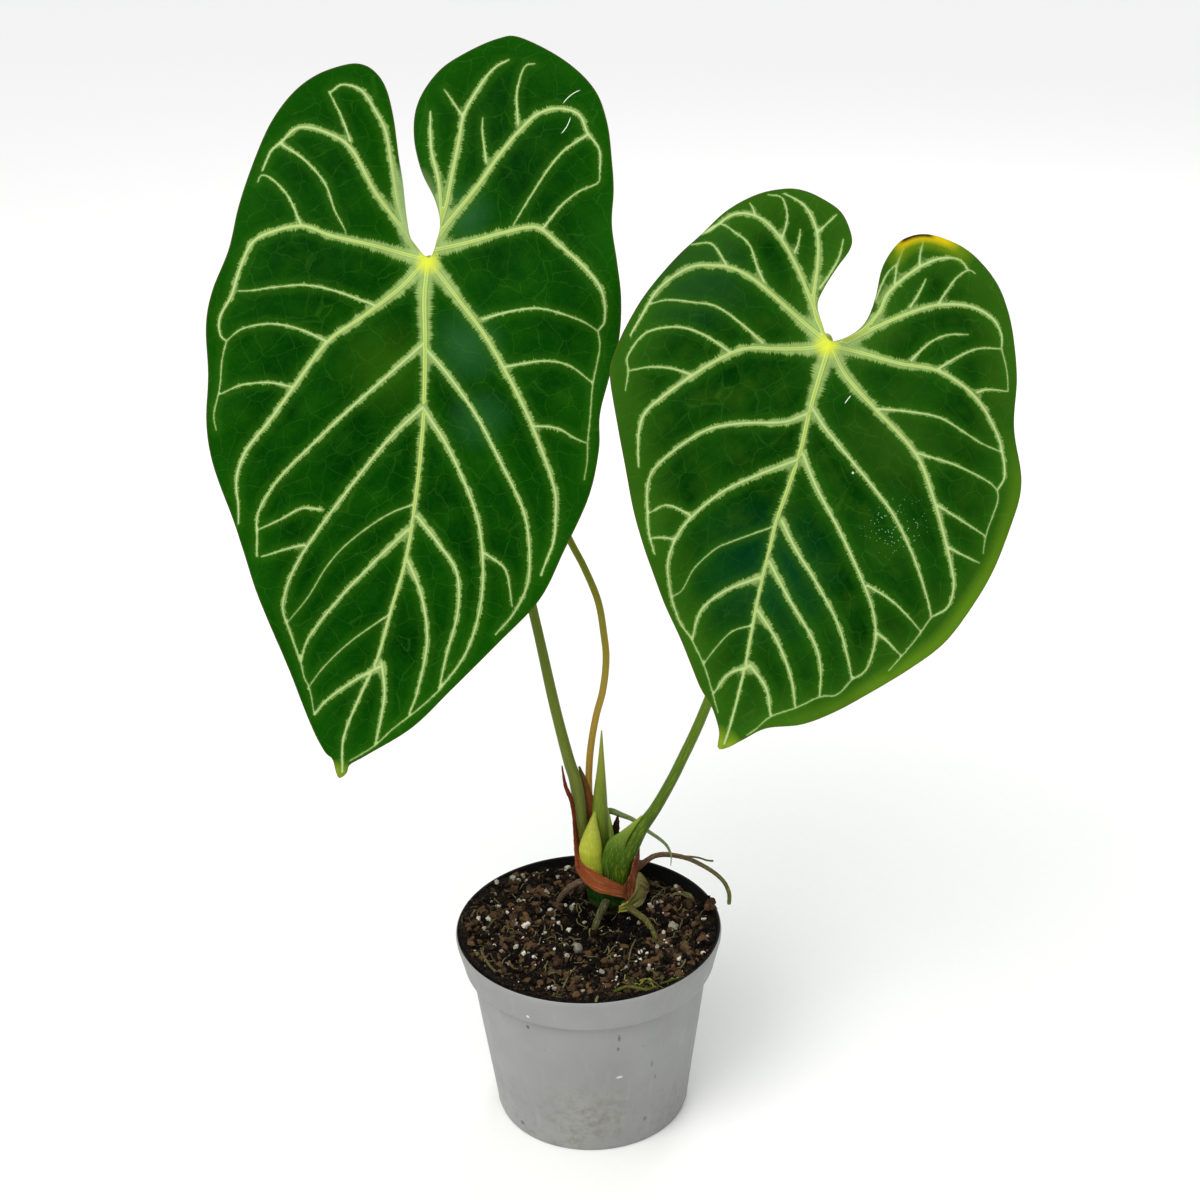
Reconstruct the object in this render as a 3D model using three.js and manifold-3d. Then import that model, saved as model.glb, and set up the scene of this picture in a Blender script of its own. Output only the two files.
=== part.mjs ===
// A young Anthurium magnificum in a plastic nursery pot: two velvety heart-shaped leaves with their long
// petioles, a slim flower, the crown with its sheaths and aerial roots, and the potting mix in the pot.
// Millimetres, +Z up. The origin is the middle of the pot's underside, and the leaves face -Y.

import * as THREE from 'three';
import { mergeVertices } from 'three/addons/utils/BufferGeometryUtils.js';
import Module from 'manifold-3d';

const wasm = await Module();
wasm.setup();

// Driving dimensions
const POT = {
  top: 60,
  height: 92,
  wall: 1.2,
  lip: 1.5,
  foot: 44.7,
  waist: [49.9, 45],
  body: [51.6, 58],
  shoulder: [53.6, 74],
  band: [57, 77.2],
  sides: 36,
};
const SOIL = { level: 87, relief: 1.6, rings: 7, grains: 28, grainSize: [1.2, 2.4] };
const GAP = 0.3;
const BLADE = { thick: 0.9, cell: 12, outlineStep: 18, ribStep: 26, tolerance: 0.05 };

// A seeded random number between 0 and 1, the same in each run.
function randomFrom(seed) {
  let state = seed;
  return () => {
    state = (state * 1664525 + 1013904223) % 4294967296;
    return state / 4294967296;
  };
}

// Solids and meshes

function solid(geometry) {
  const bare = geometry.index ? geometry.clone() : geometry;
  bare.deleteAttribute('normal');
  bare.deleteAttribute('uv');
  const merged = mergeVertices(bare, 1e-4);
  const mesh = new wasm.Mesh({
    numProp: 3,
    vertProperties: new Float32Array(merged.attributes.position.array),
    triVerts: new Uint32Array(merged.index.array),
  });
  return new wasm.Manifold(mesh);
}

// Cuts tools out of a body and keeps its largest piece.
function cut(body, ...tools) {
  return largest(tools.reduce((rest, tool) => rest.subtract(tool), body));
}

function join(first, ...others) {
  return others.reduce((sum, other) => sum.add(other), first);
}

// Keeps the largest skin of a cut or fused solid: loose scraps are dropped and sealed hollows filled.
function largest(body) {
  return body.decompose().sort((a, b) => b.volume() - a.volume())[0];
}

const plant = new THREE.Group();

function addNode(name, body, color, roughness) {
  const { vertProperties, triVerts } = body.getMesh();
  const geometry = new THREE.BufferGeometry();
  geometry.setAttribute('position', new THREE.BufferAttribute(vertProperties, 3));
  geometry.setIndex(new THREE.BufferAttribute(triVerts, 1));
  geometry.computeVertexNormals();
  const material = new THREE.MeshStandardMaterial({ color, roughness, metalness: 0 });
  const mesh = new THREE.Mesh(geometry, material);
  mesh.name = name;
  plant.add(mesh);
}

// Closed shapes from points

function closedMesh(points, triangles) {
  const geometry = new THREE.BufferGeometry();
  const flat = points.flatMap((p) => [p.x, p.y, p.z]);
  geometry.setAttribute('position', new THREE.Float32BufferAttribute(flat, 3));
  geometry.setIndex(triangles);
  return geometry;
}

// A closed tube along a smooth curve through rows of [x, y, z, radius]. Its section is an oval with the full
// radius towards `across` and `flat` times the radius the other way.
function sweep(rows, { sides = 8, steps = 16, flat = 1, across = [1, 0, 0], grow = 0 } = {}) {
  const spline = (points) => new THREE.CatmullRomCurve3(points, false, 'catmullrom', 0.5);
  const path = spline(rows.map(([x, y, z]) => new THREE.Vector3(x, y, z)));
  const size = spline(rows.map((row) => new THREE.Vector3(row[3], 0, 0)));
  const reference = new THREE.Vector3(...across);
  const points = [];
  const triangles = [];
  for (let i = 0; i <= steps; i += 1) {
    const t = i / steps;
    const centre = path.getPoint(t);
    const along = path.getTangent(t);
    const radius = Math.max(size.getPoint(t).x, 0.3) + grow;
    const wide = reference.clone().addScaledVector(along, -reference.dot(along)).normalize();
    const deep = along.clone().cross(wide);
    for (let j = 0; j < sides; j += 1) {
      const angle = (2 * Math.PI * j) / sides;
      const rim = centre.clone().addScaledVector(wide, radius * Math.cos(angle));
      points.push(rim.addScaledVector(deep, (radius * flat + grow * (1 - flat)) * Math.sin(angle)));
    }
  }
  const endDepth = 0.5;
  const capEnd = (t, sign) => {
    const radius = Math.max(size.getPoint(t).x, 0.3) * endDepth + grow;
    points.push(path.getPoint(t).addScaledVector(path.getTangent(t), sign * radius));
    return points.length - 1;
  };
  const first = capEnd(0, -1);
  const last = capEnd(1, 1);
  for (let j = 0; j < sides; j += 1) {
    const next = (j + 1) % sides;
    for (let i = 0; i < steps; i += 1) {
      const [a, b] = [i * sides + j, i * sides + next];
      triangles.push(a, b, b + sides, a, b + sides, a + sides);
    }
    triangles.push(first, next, j);
    triangles.push(last, steps * sides + j, steps * sides + next);
  }
  return closedMesh(points, triangles);
}

// A thin closed sheet. place(a, b, side) gives its front (side 1) and back (side -1) points for a and b
// from 0 to 1, and both faces are split into the same triangles.
function slab(columns, rows, place) {
  const points = [];
  const triangles = [];
  const across = columns + 1;
  const layer = across * (rows + 1);
  for (const side of [1, -1]) {
    for (let j = 0; j <= rows; j += 1) {
      for (let i = 0; i <= columns; i += 1) points.push(place(i / columns, j / rows, side));
    }
  }
  for (let j = 0; j < rows; j += 1) {
    for (let i = 0; i < columns; i += 1) {
      const a = j * across + i;
      const [b, c, d] = [a + 1, a + across + 1, a + across];
      triangles.push(a, b, c, a, c, d);
      triangles.push(a + layer, c + layer, b + layer, a + layer, d + layer, c + layer);
    }
  }
  const wall = (a, b) => triangles.push(a, a + layer, b + layer, a, b + layer, b);
  for (let i = 0; i < columns; i += 1) {
    wall(i, i + 1);
    wall(rows * across + i + 1, rows * across + i);
  }
  for (let j = 0; j < rows; j += 1) {
    wall((j + 1) * across, j * across);
    wall(j * across + columns, (j + 1) * across + columns);
  }
  return closedMesh(points, triangles);
}

// A piece of sheath bent round an upright axis. Angles are in degrees from the front, positive to the right.
function wrap({ centre, from, to, bottom, top, radius, thick, columns = 14, rows = 3 }) {
  return slab(columns, rows, (a, b, side) => {
    const degrees = from + (to - from) * a;
    const angle = THREE.MathUtils.degToRad(degrees);
    const z = bottom(degrees) + (top(degrees) - bottom(degrees)) * b;
    const r = radius(degrees) + (side * thick) / 2;
    return new THREE.Vector3(centre[0] + r * Math.sin(angle), centre[1] - r * Math.cos(angle), z);
  });
}

// A turned body: rows of [radius, height] from the axis, round the outside and back to the axis.
function turned(profile, sides) {
  const points = profile.map(([r, z]) => new THREE.Vector2(r, z));
  return new THREE.LatheGeometry(points, sides).rotateX(Math.PI / 2);
}

// Leaves. An outline and veins are in the blade's own plane: u to the right and v up, from the point where
// the petiole joins. tilt, yaw and roll, in degrees, turn that plane, and origin puts it in its place.
const LEFT_LEAF = {
  origin: [-59, 45, 389],
  tilt: 22,
  yaw: -4,
  roll: -9.7,
  wing: 0.12,
  curl: 0.0012,
  arch: 0.0009,
  archAt: -55,
  wave: 2.4,
  waves: [9, 0.6, 14, 2.1],
  outline: [
    [0, 2], [-9, 8], [-13, 18], [-17, 31], [-21, 42], [-26, 57], [-31, 68], [-36, 74], [-42, 77], [-49, 76],
    [-60, 69], [-69, 58], [-76, 43], [-80, 26], [-82, 10], [-83, -8], [-86, -26], [-86, -45], [-82, -68],
    [-76, -94], [-65, -116], [-54, -137], [-42, -158], [-31, -179], [-21, -199], [-13, -211], [-9, -214],
    [-7, -219], [-5, -222], [-2, -219], [-1, -215], [6, -209], [24, -193], [38, -174], [55, -150],
    [69, -129],
    [76, -107], [82, -83], [83, -64], [81, -50], [82, -35], [83, -18], [81, -1], [77, 13], [72, 28],
    [70, 42],
    [67, 54], [62, 70], [54, 83], [39, 93], [20, 99], [11, 97], [-1, 89], [-11, 79], [-17, 65], [-16, 51],
    [-10, 37], [-2, 26], [2, 17], [2, 9],
  ],
  midrib: [
    [0, 0], [1, -15], [5, -36], [9, -64], [11, -93], [11, -121], [8, -144], [5, -166], [0, -183],
    [-4, -203], [-4, -217],
  ],
  ribs: [
    [[-3, 3], [-11, 11], [-17, 22], [-23, 38], [-28, 51], [-34, 59], [-41, 66], [-49, 67]],
    [[-2, 2], [-12, 11], [-27, 25], [-40, 41], [-52, 46], [-63, 46], [-69, 39], [-73, 34]],
    [[-2, 1], [-22, 3], [-41, 4], [-54, 6], [-67, 1], [-74, -5], [-77, -17], [-78, -27], [-80, -40]],
    [
      [-2, -1], [-11, -14], [-23, -27], [-35, -39], [-44, -56], [-53, -74], [-62, -90], [-64, -102],
      [-62, -113],
    ],
    [[1, 8], [3, 23], [3, 35], [3, 51], [3, 64], [8, 78], [17, 89]],
    [[1, 5], [5, 17], [14, 34], [21, 49], [27, 60], [33, 68], [41, 72], [50, 71], [55, 64], [61, 58]],
    [[1, 3], [15, 11], [28, 17], [38, 21], [44, 21], [54, 15], [65, 8], [73, 0], [76, -11]],
    [[1, 0], [14, -12], [27, -24], [39, -38], [51, -54], [61, -70], [68, -84], [71, -104], [69, -118]],
    [[4, -33], [-7, -47], [-20, -63], [-33, -80], [-46, -98], [-53, -114], [-51, -130]],
    [[8, -59], [-4, -75], [-17, -98], [-28, -119], [-35, -136], [-37, -151], [-27, -174]],
    [[5, -35], [16, -44], [31, -59], [44, -76], [56, -93], [61, -107], [63, -123], [59, -137]],
    [[9, -60], [23, -76], [37, -98], [43, -117], [45, -136], [42, -157], [34, -173]],
  ],
};

const RIGHT_LEAF = {
  origin: [102, 10, 361],
  tilt: 27,
  yaw: 8,
  roll: -14.3,
  wing: 0.12,
  curl: 0.0013,
  arch: 0.0011,
  archAt: -45,
  wave: 2.2,
  waves: [8, 1.9, 13, 0.4],
  outline: [
    [1, 2], [-3, 8], [-6, 16], [-4, 24], [0, 33], [4, 41], [4, 47], [-1, 56], [-10, 61], [-18, 63],
    [-26, 62],
    [-37, 57], [-48, 48], [-57, 36], [-66, 24], [-75, 9], [-80, -3], [-84, -17], [-85, -28], [-79, -47],
    [-72, -66], [-64, -85], [-58, -98], [-50, -111], [-39, -126], [-28, -143], [-21, -151], [-16, -160],
    [-15, -167], [-11, -166], [-6, -162], [2, -156], [16, -152], [30, -144], [43, -134], [56, -122],
    [68, -109],
    [77, -92], [84, -74], [87, -57], [87, -41], [82, -18], [80, 1], [76, 19], [71, 31], [64, 41], [54, 50],
    [45, 54], [37, 55], [30, 53], [24, 48], [19, 37], [18, 24], [15, 13], [9, 6],
  ],
  midrib: [
    [0, 0], [-1, -13], [-3, -29], [-4, -43], [-6, -56], [-9, -73], [-10, -87], [-11, -103], [-11, -122],
    [-11, -135], [-12, -162],
  ],
  ribs: [
    [[-1, 3], [-6, 11], [-8, 19], [-8, 31], [-9, 43], [-12, 51], [-17, 57]],
    [[-1, 2], [-7, 14], [-17, 31], [-27, 43], [-36, 48], [-45, 47], [-53, 39]],
    [[-1, 2], [-16, 11], [-31, 20], [-41, 24], [-50, 24], [-60, 21], [-71, 10], [-76, -2]],
    [[-1, 1], [-6, -2], [-19, -5], [-31, -7], [-39, -11], [-50, -20], [-63, -33], [-69, -41], [-68, -61]],
    [[3, 2], [14, 9], [20, 18], [23, 27], [32, 38], [42, 45], [52, 44]],
    [[8, 4], [20, 12], [31, 19], [43, 25], [56, 27], [66, 24], [71, 16]],
    [[3, 0], [14, 0], [30, -2], [46, -2], [59, -7], [68, -14], [75, -23], [80, -40]],
    [[2, -1], [11, -12], [23, -22], [42, -37], [52, -53], [60, -69], [67, -87], [60, -101]],
    [[-4, -29], [-13, -34], [-31, -38], [-45, -44], [-59, -58], [-63, -67], [-58, -93]],
    [[-5, -48], [-20, -57], [-34, -67], [-46, -82], [-50, -96], [-47, -108], [-36, -124]],
    [[-3, -25], [6, -35], [22, -49], [37, -63], [48, -78], [60, -101]],
    [[-3, -45], [5, -58], [18, -75], [29, -91], [36, -103], [39, -114], [34, -130]],
  ],
};

function leafMatrix(leaf) {
  const turn = (axis, degrees) => {
    const matrix = new THREE.Matrix4();
    return matrix.makeRotationAxis(axis, THREE.MathUtils.degToRad(degrees));
  };
  const [x, z] = [new THREE.Vector3(1, 0, 0), new THREE.Vector3(0, 0, 1)];
  return new THREE.Matrix4()
    .makeTranslation(...leaf.origin)
    .multiply(turn(z, leaf.yaw))
    .multiply(turn(x, 90 - leaf.tilt))
    .multiply(turn(z, leaf.roll));
}

function smoothCurve(points, closed = false) {
  return new THREE.CatmullRomCurve3(points.map(([u, v]) => new THREE.Vector3(u, v, 0)), closed);
}

function distanceToLine(u, v, line, closed = false) {
  let nearest = Infinity;
  const count = closed ? line.length : line.length - 1;
  for (let i = 0; i < count; i += 1) {
    const [a, b] = [line[i], line[(i + 1) % line.length]];
    const [du, dv] = [b.x - a.x, b.y - a.y];
    const along = ((u - a.x) * du + (v - a.y) * dv) / (du * du + dv * dv);
    const t = THREE.MathUtils.clamp(along, 0, 1);
    nearest = Math.min(nearest, Math.hypot(u - a.x - t * du, v - a.y - t * dv));
  }
  return nearest;
}

// The sideways place of the midrib at height v.
function midribAt(leaf, v) {
  const { midrib } = leaf;
  if (v >= 0) return 0;
  const below = midrib.findIndex((point) => point[1] <= v);
  if (below < 0) return midrib[midrib.length - 1][0];
  const [a, b] = [midrib[below - 1], midrib[below]];
  return a[0] + ((v - a[1]) / (b[1] - a[1])) * (b[0] - a[0]);
}

// How far the blade's surface stands out of its plane: two wings rise from the midrib and curl back, the
// whole blade arches from lobes to tip, its margin waves, and it bulges a little between the ribs.
function bladeHeight(leaf, lines, u, v) {
  const crease = 5;
  const side = u - midribAt(leaf, v);
  const rise = leaf.wing * (Math.hypot(side, crease) - crease) - leaf.curl * side * side;
  const arch = leaf.arch * (leaf.archAt ** 2 - (v - leaf.archAt) ** 2);
  const waveReach = 28;
  const edge = Math.max(0, 1 - distanceToLine(u, v, lines.outline, true) / waveReach);
  const angle = Math.atan2(u, v - leaf.archAt);
  const [slow, slowStart, quick, quickStart] = leaf.waves;
  const ripple = Math.sin(slow * angle + slowStart) + 0.5 * Math.sin(quick * angle + quickStart);
  const quilt = { depth: 0.9, reach: 9 };
  const toRib = Math.min(...lines.ribs.map((line) => distanceToLine(u, v, line)));
  const bulge = quilt.depth * (1 - Math.exp(-((toRib / quilt.reach) ** 2)));
  return rise + arch + leaf.wave * edge * edge * ripple + bulge;
}

// The outline's own points, with a point of the smooth curve between two that are far apart.
function outlinePoints(leaf) {
  const curve = smoothCurve(leaf.outline, true);
  const count = leaf.outline.length;
  return leaf.outline.flatMap(([u, v], i) => {
    const [nextU, nextV] = leaf.outline[(i + 1) % count];
    const here = new THREE.Vector3(u, v, 0);
    const far = Math.hypot(nextU - u, nextV - v) > BLADE.outlineStep;
    return far ? [here, curve.getPoint((i + 0.5) / count)] : [here];
  });
}

function leafLines(leaf) {
  const outline = outlinePoints(leaf);
  const ribs = [leaf.midrib, ...leaf.ribs].map((route) => smoothCurve(route).getPoints(2 * route.length));
  const lines = { outline, ribs };
  const box = new THREE.Box3().setFromPoints(outline).expandByScalar(BLADE.cell / 2);
  const size = box.getSize(new THREE.Vector3());
  const columns = Math.round(size.x / BLADE.cell);
  const rows = Math.round(size.y / BLADE.cell);
  const heights = Array.from({ length: rows + 1 }, (_row, j) =>
    Array.from({ length: columns + 1 }, (_column, i) =>
      bladeHeight(leaf, lines, box.min.x + (i / columns) * size.x, box.min.y + (j / rows) * size.y)));
  return { outline, grid: { corner: box.min, size, columns, rows, heights } };
}

// The height of the blade's triangles at any point, so that the ribs lie along them.
function gridHeight({ corner, size, columns, rows, heights }, u, v) {
  const x = ((u - corner.x) / size.x) * columns;
  const y = ((v - corner.y) / size.y) * rows;
  const i = THREE.MathUtils.clamp(Math.floor(x), 0, columns - 1);
  const j = THREE.MathUtils.clamp(Math.floor(y), 0, rows - 1);
  const [fx, fy] = [x - i, y - j];
  const [a, b, c, d] = [heights[j][i], heights[j][i + 1], heights[j + 1][i + 1], heights[j + 1][i]];
  return fx >= fy ? a + (b - a) * fx + (c - b) * fy : a + (c - d) * fx + (d - a) * fy;
}

// The blade's sheet between two heights over its middle surface, cut to the outline.
function bladeSheet(leaf, { outline, grid }, below, above) {
  const { corner, size, columns, rows, heights } = grid;
  const sheet = slab(columns, rows, (a, b, side) => {
    const height = heights[Math.round(b * rows)][Math.round(a * columns)] + (side > 0 ? above : below);
    return new THREE.Vector3(corner.x + a * size.x, corner.y + b * size.y, height);
  });
  const shape = new THREE.Shape(outline.map((p) => new THREE.Vector2(p.x, p.y)));
  const reach = 90;
  const prism = new THREE.ExtrudeGeometry(shape, { depth: 2 * reach, bevelEnabled: false });
  prism.translate(0, 0, -reach);
  const matrix = leafMatrix(leaf);
  return solid(sheet.applyMatrix4(matrix)).intersect(solid(prism.applyMatrix4(matrix)));
}

// A rib: a keel with its edge down and its two upper corners sunk in the blade, lower towards its end.
function rib(leaf, { grid }, route, deepStart, deepEnd) {
  const curve = smoothCurve(route);
  const steps = Math.max(3, Math.round(curve.getLength() / BLADE.ribStep));
  const rows = curve.getSpacedPoints(steps).map((p, i) => {
    const deep = deepStart + (deepEnd - deepStart) * (i / steps);
    return [p.x, p.y, gridHeight(grid, p.x, p.y) - BLADE.thick / 2, deep];
  });
  const tube = sweep(rows, { sides: 3, steps, across: [0, 0, -1] });
  return solid(tube.applyMatrix4(leafMatrix(leaf)));
}

function blade(leaf, lines) {
  const sheet = bladeSheet(leaf, lines, -BLADE.thick / 2, BLADE.thick / 2);
  const midrib = rib(leaf, lines, leaf.midrib, 1.6, 0.8);
  const ribs = leaf.ribs.map((route) => rib(leaf, lines, route, route[0][1] > -20 ? 1.3 : 1.1, 0.7));
  return largest(join(sheet, midrib, ...ribs)).simplify(BLADE.tolerance);
}

// What is taken from a petiole's end so that it butts against the ribs on the blade's back.
function bladeRoom(leaf, lines) {
  const ribDepth = 1.6;
  const reach = 40;
  return bladeSheet(leaf, lines, -BLADE.thick / 2 - ribDepth - GAP, reach);
}

// Petioles and the flower: rows of [x, y, z, radius]

const LEFT_PETIOLE = [
  [2.5, 29.5, 100, 5.2], [1, 29.5, 108, 4.6], [-0.6, 29.8, 115, 4], [-1.9, 30, 122, 3.6], [-3, 30, 137, 3.2],
  [-4.6, 30.4, 150, 2.9], [-7, 31, 159, 2.7], [-11, 33, 177, 2.5], [-14.3, 34.5, 194, 2.4],
  [-20.4, 38, 228, 2.2],
  [-33, 46, 292, 2.1], [-45, 54, 347, 2.2], [-54, 57, 375, 2.5], [-58.5, 53, 386, 2.9], [-59, 44, 389, 2.9],
];
const RIGHT_PETIOLE = [
  [13.8, 24, 98, 6.2], [14, 23.5, 107, 6.6], [15, 22.6, 113, 6.2], [19.2, 22, 119, 4.6],
  [24.8, 22, 129, 3.3],
  [31, 22, 138.5, 2.7], [37.4, 22, 150.7, 2.5], [43, 22, 163, 2.4], [53, 22.5, 187, 2.3], [69, 24, 233, 2.1],
  [86, 26, 294, 2.1], [96, 26, 337, 2.2], [101, 23, 355, 2.5], [102.5, 17, 361, 2.9], [102, 9, 361.5, 2.9],
];
const RIGHT_WING = [
  [11, 20, 103, 4.2], [11.2, 19, 111, 4.8], [12.4, 18.6, 117.5, 5.2], [13.6, 18.6, 122.6, 4.4],
  [17, 19.2, 127, 2.5], [21.6, 20.4, 132, 1.2], [25.2, 21, 136, 0.4],
];
const FLOWER_STALK = [
  [3.5, 31.5, 115, 1.6], [1.8, 33.5, 129, 1.6], [1.5, 34, 143, 1.6], [1.8, 34, 154, 1.6],
  [3, 34.5, 166, 1.6],
  [5.5, 35, 180, 1.6], [8.9, 36, 193, 1.6], [10.6, 38, 207, 1.6], [9.9, 41, 218, 1.6], [7.6, 44.5, 233, 1.6],
  [1.8, 50, 247, 1.6], [-4.2, 55, 258, 1.6], [-13, 62, 277, 1.5], [-20, 68, 295, 1.5],
];
const SPADIX = [
  [-20.4, 68.4, 296.6, 2.2], [-22, 70, 303, 2.7], [-24.5, 72, 315, 2.6], [-27.5, 73.5, 331, 2.2],
  [-30, 74, 347, 1.2],
];
const SPATHE = { base: [-20.2, 69.4, 294.6], length: 52, width: 13, thick: 0.8, lean: 38, yaw: -24 };

// Crown: the stem's green base with its brown rootstock below, and the sheaths round it
const CROWN = { centre: [10, 27.5], sheath: 1.1 };

const STEM = [
  [10, 28, 55, 6], [10, 28, 73, 7], [10, 28, 84, 7.4], [10, 28, 89.5, 10.4], [10, 28, 95, 11],
  [9.6, 27.8, 103, 10],
  [8.5, 28, 111, 6.5], [8, 28.5, 116, 4],
];
const NEW_LEAF = [
  [6.5, 28, 105, 4], [6.1, 28, 125, 4], [6.4, 28, 141, 3.3], [7.3, 29, 158, 1.7], [7.9, 30, 175.6, 0.3],
];
const BUD_SHEATH = [
  [4.6, 21.5, 102, 2.6], [3.4, 21.2, 108, 4.4], [2, 21, 114.5, 5.2], [1.7, 21, 120, 5.3],
  [2.2, 21.6, 125, 4.2],
  [3, 23.4, 131, 2.2], [4.1, 26, 136.2, 0.5],
];
const INNER_SHEATH = [
  [10.6, 27, 110, 2.2], [10.8, 27, 118, 2], [10.6, 27.2, 126, 1.4], [9.9, 27.6, 133, 0.9],
  [9.3, 28, 138, 0.35],
];
const BROWN_SHEATH = [
  [3, 31, 109, 3.6], [2.2, 32, 127, 3.2], [1.2, 32.4, 138, 2.6], [-0.6, 32.4, 148, 1.5],
  [-2.6, 32.2, 156, 0.5],
];
const COLLAR_TIP = [
  [-3.6, 22, 110, 2.4], [-4.6, 23.2, 119, 1.9], [-5.2, 24.6, 128, 1.4], [-5.6, 25.6, 135, 1.2],
  [-6.6, 26.4, 142, 1.3], [-9, 27.4, 149, 1.1], [-10.4, 28, 159, 0.4],
];
const SCRAP = [[12.6, 31.5, 114, 1], [12.6, 31.5, 121, 2.1], [13.6, 31.5, 125, 1.6], [14.4, 31.6, 130, 0.4]];
const PALE_BRACT = [
  [6, 33.6, 119, 1.1], [8, 33.4, 128, 1.4], [10.6, 33, 131.7, 1.6], [16, 33.2, 129.5, 1.4],
  [22, 33.6, 126.2, 1.1],
  [28.2, 34, 120, 0.95], [33, 34, 116, 0.9], [36.6, 33, 112.7, 0.8], [38.6, 32, 108, 0.6],
  [38.5, 31, 102.9, 0.35],
];

// Roots that leave the crown
const ROOT_ARCHING = [
  [18, 30, 100.5, 2.2], [22.8, 30, 103.2, 1.9], [26.6, 31, 105.4, 1.35], [31.3, 33, 107.2, 1.25],
  [37, 36, 105.8, 1.2],
  [44.4, 38, 103, 1.1], [51.5, 40, 98.3, 1.05], [58.6, 40, 93.2, 1], [63.6, 38, 88.8, 1],
  [65.8, 35, 84.4, 1], [65.6, 32, 80.4, 0.9],
];
const ROOTLET = [
  [42, 37.4, 103.4, 0.6], [46, 38.2, 103.2, 0.5], [51.5, 40, 101.3, 0.45], [55.8, 41, 99, 0.45],
  [58.7, 42, 98, 0.5],
];
const ROOT_FRONT = [
  [15, 21, 91, 2.2], [20, 16, 89, 1.7], [25.8, 10, 87.4, 1.45], [29.2, 5.2, 82.6, 1.4], [30, 3.6, 77, 1.3],
];
const ROOT_STUB = [
  [9, 20, 93, 2.2], [7, 14.8, 92, 1.9], [4.8, 11, 89.4, 1.7], [2.6, 8.2, 84, 1.6], [2, 7.4, 79, 1.4],
];
const ROOT_LEFT = [
  [2, 23, 100, 2], [-3.6, 22.6, 100.5, 1.6], [-9.3, 24, 95.8, 1.5], [-13.4, 26, 89, 1.4],
  [-15.4, 27, 82.5, 1.3], [-16, 27.4, 77, 1.1],
];
const ROOT_SURFACE = [
  [31, 29.4, 80.5, 0.9], [34, 30.6, 84.6, 0.9], [40.4, 33.4, 86.2, 0.9], [45, 32, 86.8, 0.9],
  [48, 28.6, 87, 0.9],
  [49.2, 25.4, 83.6, 0.8],
];

function pot() {
  const { top, height, wall, lip, foot, waist, body, shoulder, band, sides } = POT;
  const floor = wall + 0.4;
  const inside = ([r, z]) => [r - wall, z];
  const shape = turned([
    [0, 0], [foot - 4.5, 0], [foot - 1.2, 1.8], [foot, 6], waist, body, shoulder,
    [band[0] - 0.5, band[1] - 1.6], band, [top, height - 1.6], [top - 0.5, height], [top - lip, height], inside(band), inside(shoulder),
    inside(body), inside(waist), [foot - wall, 6.6], [foot - 5, floor], [0, floor],
  ], sides);
  const drain = { count: 8, ring: 31, radius: 4 };
  const holes = Array.from({ length: drain.count }, (_, i) => {
    const angle = (2 * Math.PI * (i + 0.5)) / drain.count;
    const hole = new THREE.CylinderGeometry(drain.radius, drain.radius, 6, 10).rotateX(Math.PI / 2);
    return solid(hole.translate(drain.ring * Math.cos(angle), drain.ring * Math.sin(angle), 0));
  });
  return cut(solid(shape), ...holes);
}

// The lumpy top of the mix: it slopes down to the back right, with swells and crumbs, and sinks into a
// hollow in front of the stem.
function soilHeight(x, y) {
  const slope = -0.04 * x - 0.02 * y;
  const swell = Math.sin(x * 0.11 + 0.8) * Math.cos(y * 0.13 - 0.4);
  const crumbs = Math.sin(x * 0.37 + y * 0.23) * Math.sin(y * 0.33 - x * 0.19 + 1.3);
  const hollow = 4 * Math.exp(-((x - 5) ** 2 + (y - 12) ** 2) / 200);
  return SOIL.level + slope + SOIL.relief * (0.6 * swell + 0.6 * crumbs) - hollow;
}

function pottingMix() {
  const { top, height, wall, lip, foot, waist, body, shoulder, band, sides } = POT;
  const room = wall + GAP;
  const floor = wall + 0.4 + GAP;
  const inside = ([r, z]) => [r - room, z];
  const wallRadius = (z) => {
    const [low, high] = [band[0] - wall, top - lip];
    return low + ((high - low) * (z - band[1])) / (height - band[1]) - GAP;
  };
  const rim = band[0] - room;
  const rings = Array.from({ length: SOIL.rings }, (_, i) => [rim * (1 - i / SOIL.rings), height]);
  const shape = turned([
    [0, floor], [foot - 5.4, floor], [foot - room, 7], inside(waist), inside(body), inside(shoulder),
    inside(band), ...rings, [0, height],
  ], sides);
  const place = shape.attributes.position;
  for (let i = 0; i < place.count; i += 1) {
    if (place.getZ(i) > height - 0.01) {
      const [x, y] = [place.getX(i), place.getY(i)];
      const z = soilHeight(x, y);
      const reach = Math.hypot(x, y) > rim - 0.1 ? wallRadius(z) / rim : 1;
      place.setXYZ(i, x * reach, y * reach, z);
    }
  }
  const random = randomFrom(7);
  const [small, large] = SOIL.grainSize;
  const grains = Array.from({ length: SOIL.grains }, () => {
    const angle = 2 * Math.PI * random();
    const reach = 50 * Math.sqrt(random());
    const size = small + (large - small) * random() ** 2;
    const [x, y] = [reach * Math.cos(angle), reach * Math.sin(angle)];
    const grain = new THREE.OctahedronGeometry(size, 0).scale(1, 0.85, 0.75).rotateZ(6 * random());
    return solid(grain.translate(x, y, soilHeight(x, y) + 0.1 * size));
  });
  return join(solid(shape), ...grains);
}

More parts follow.
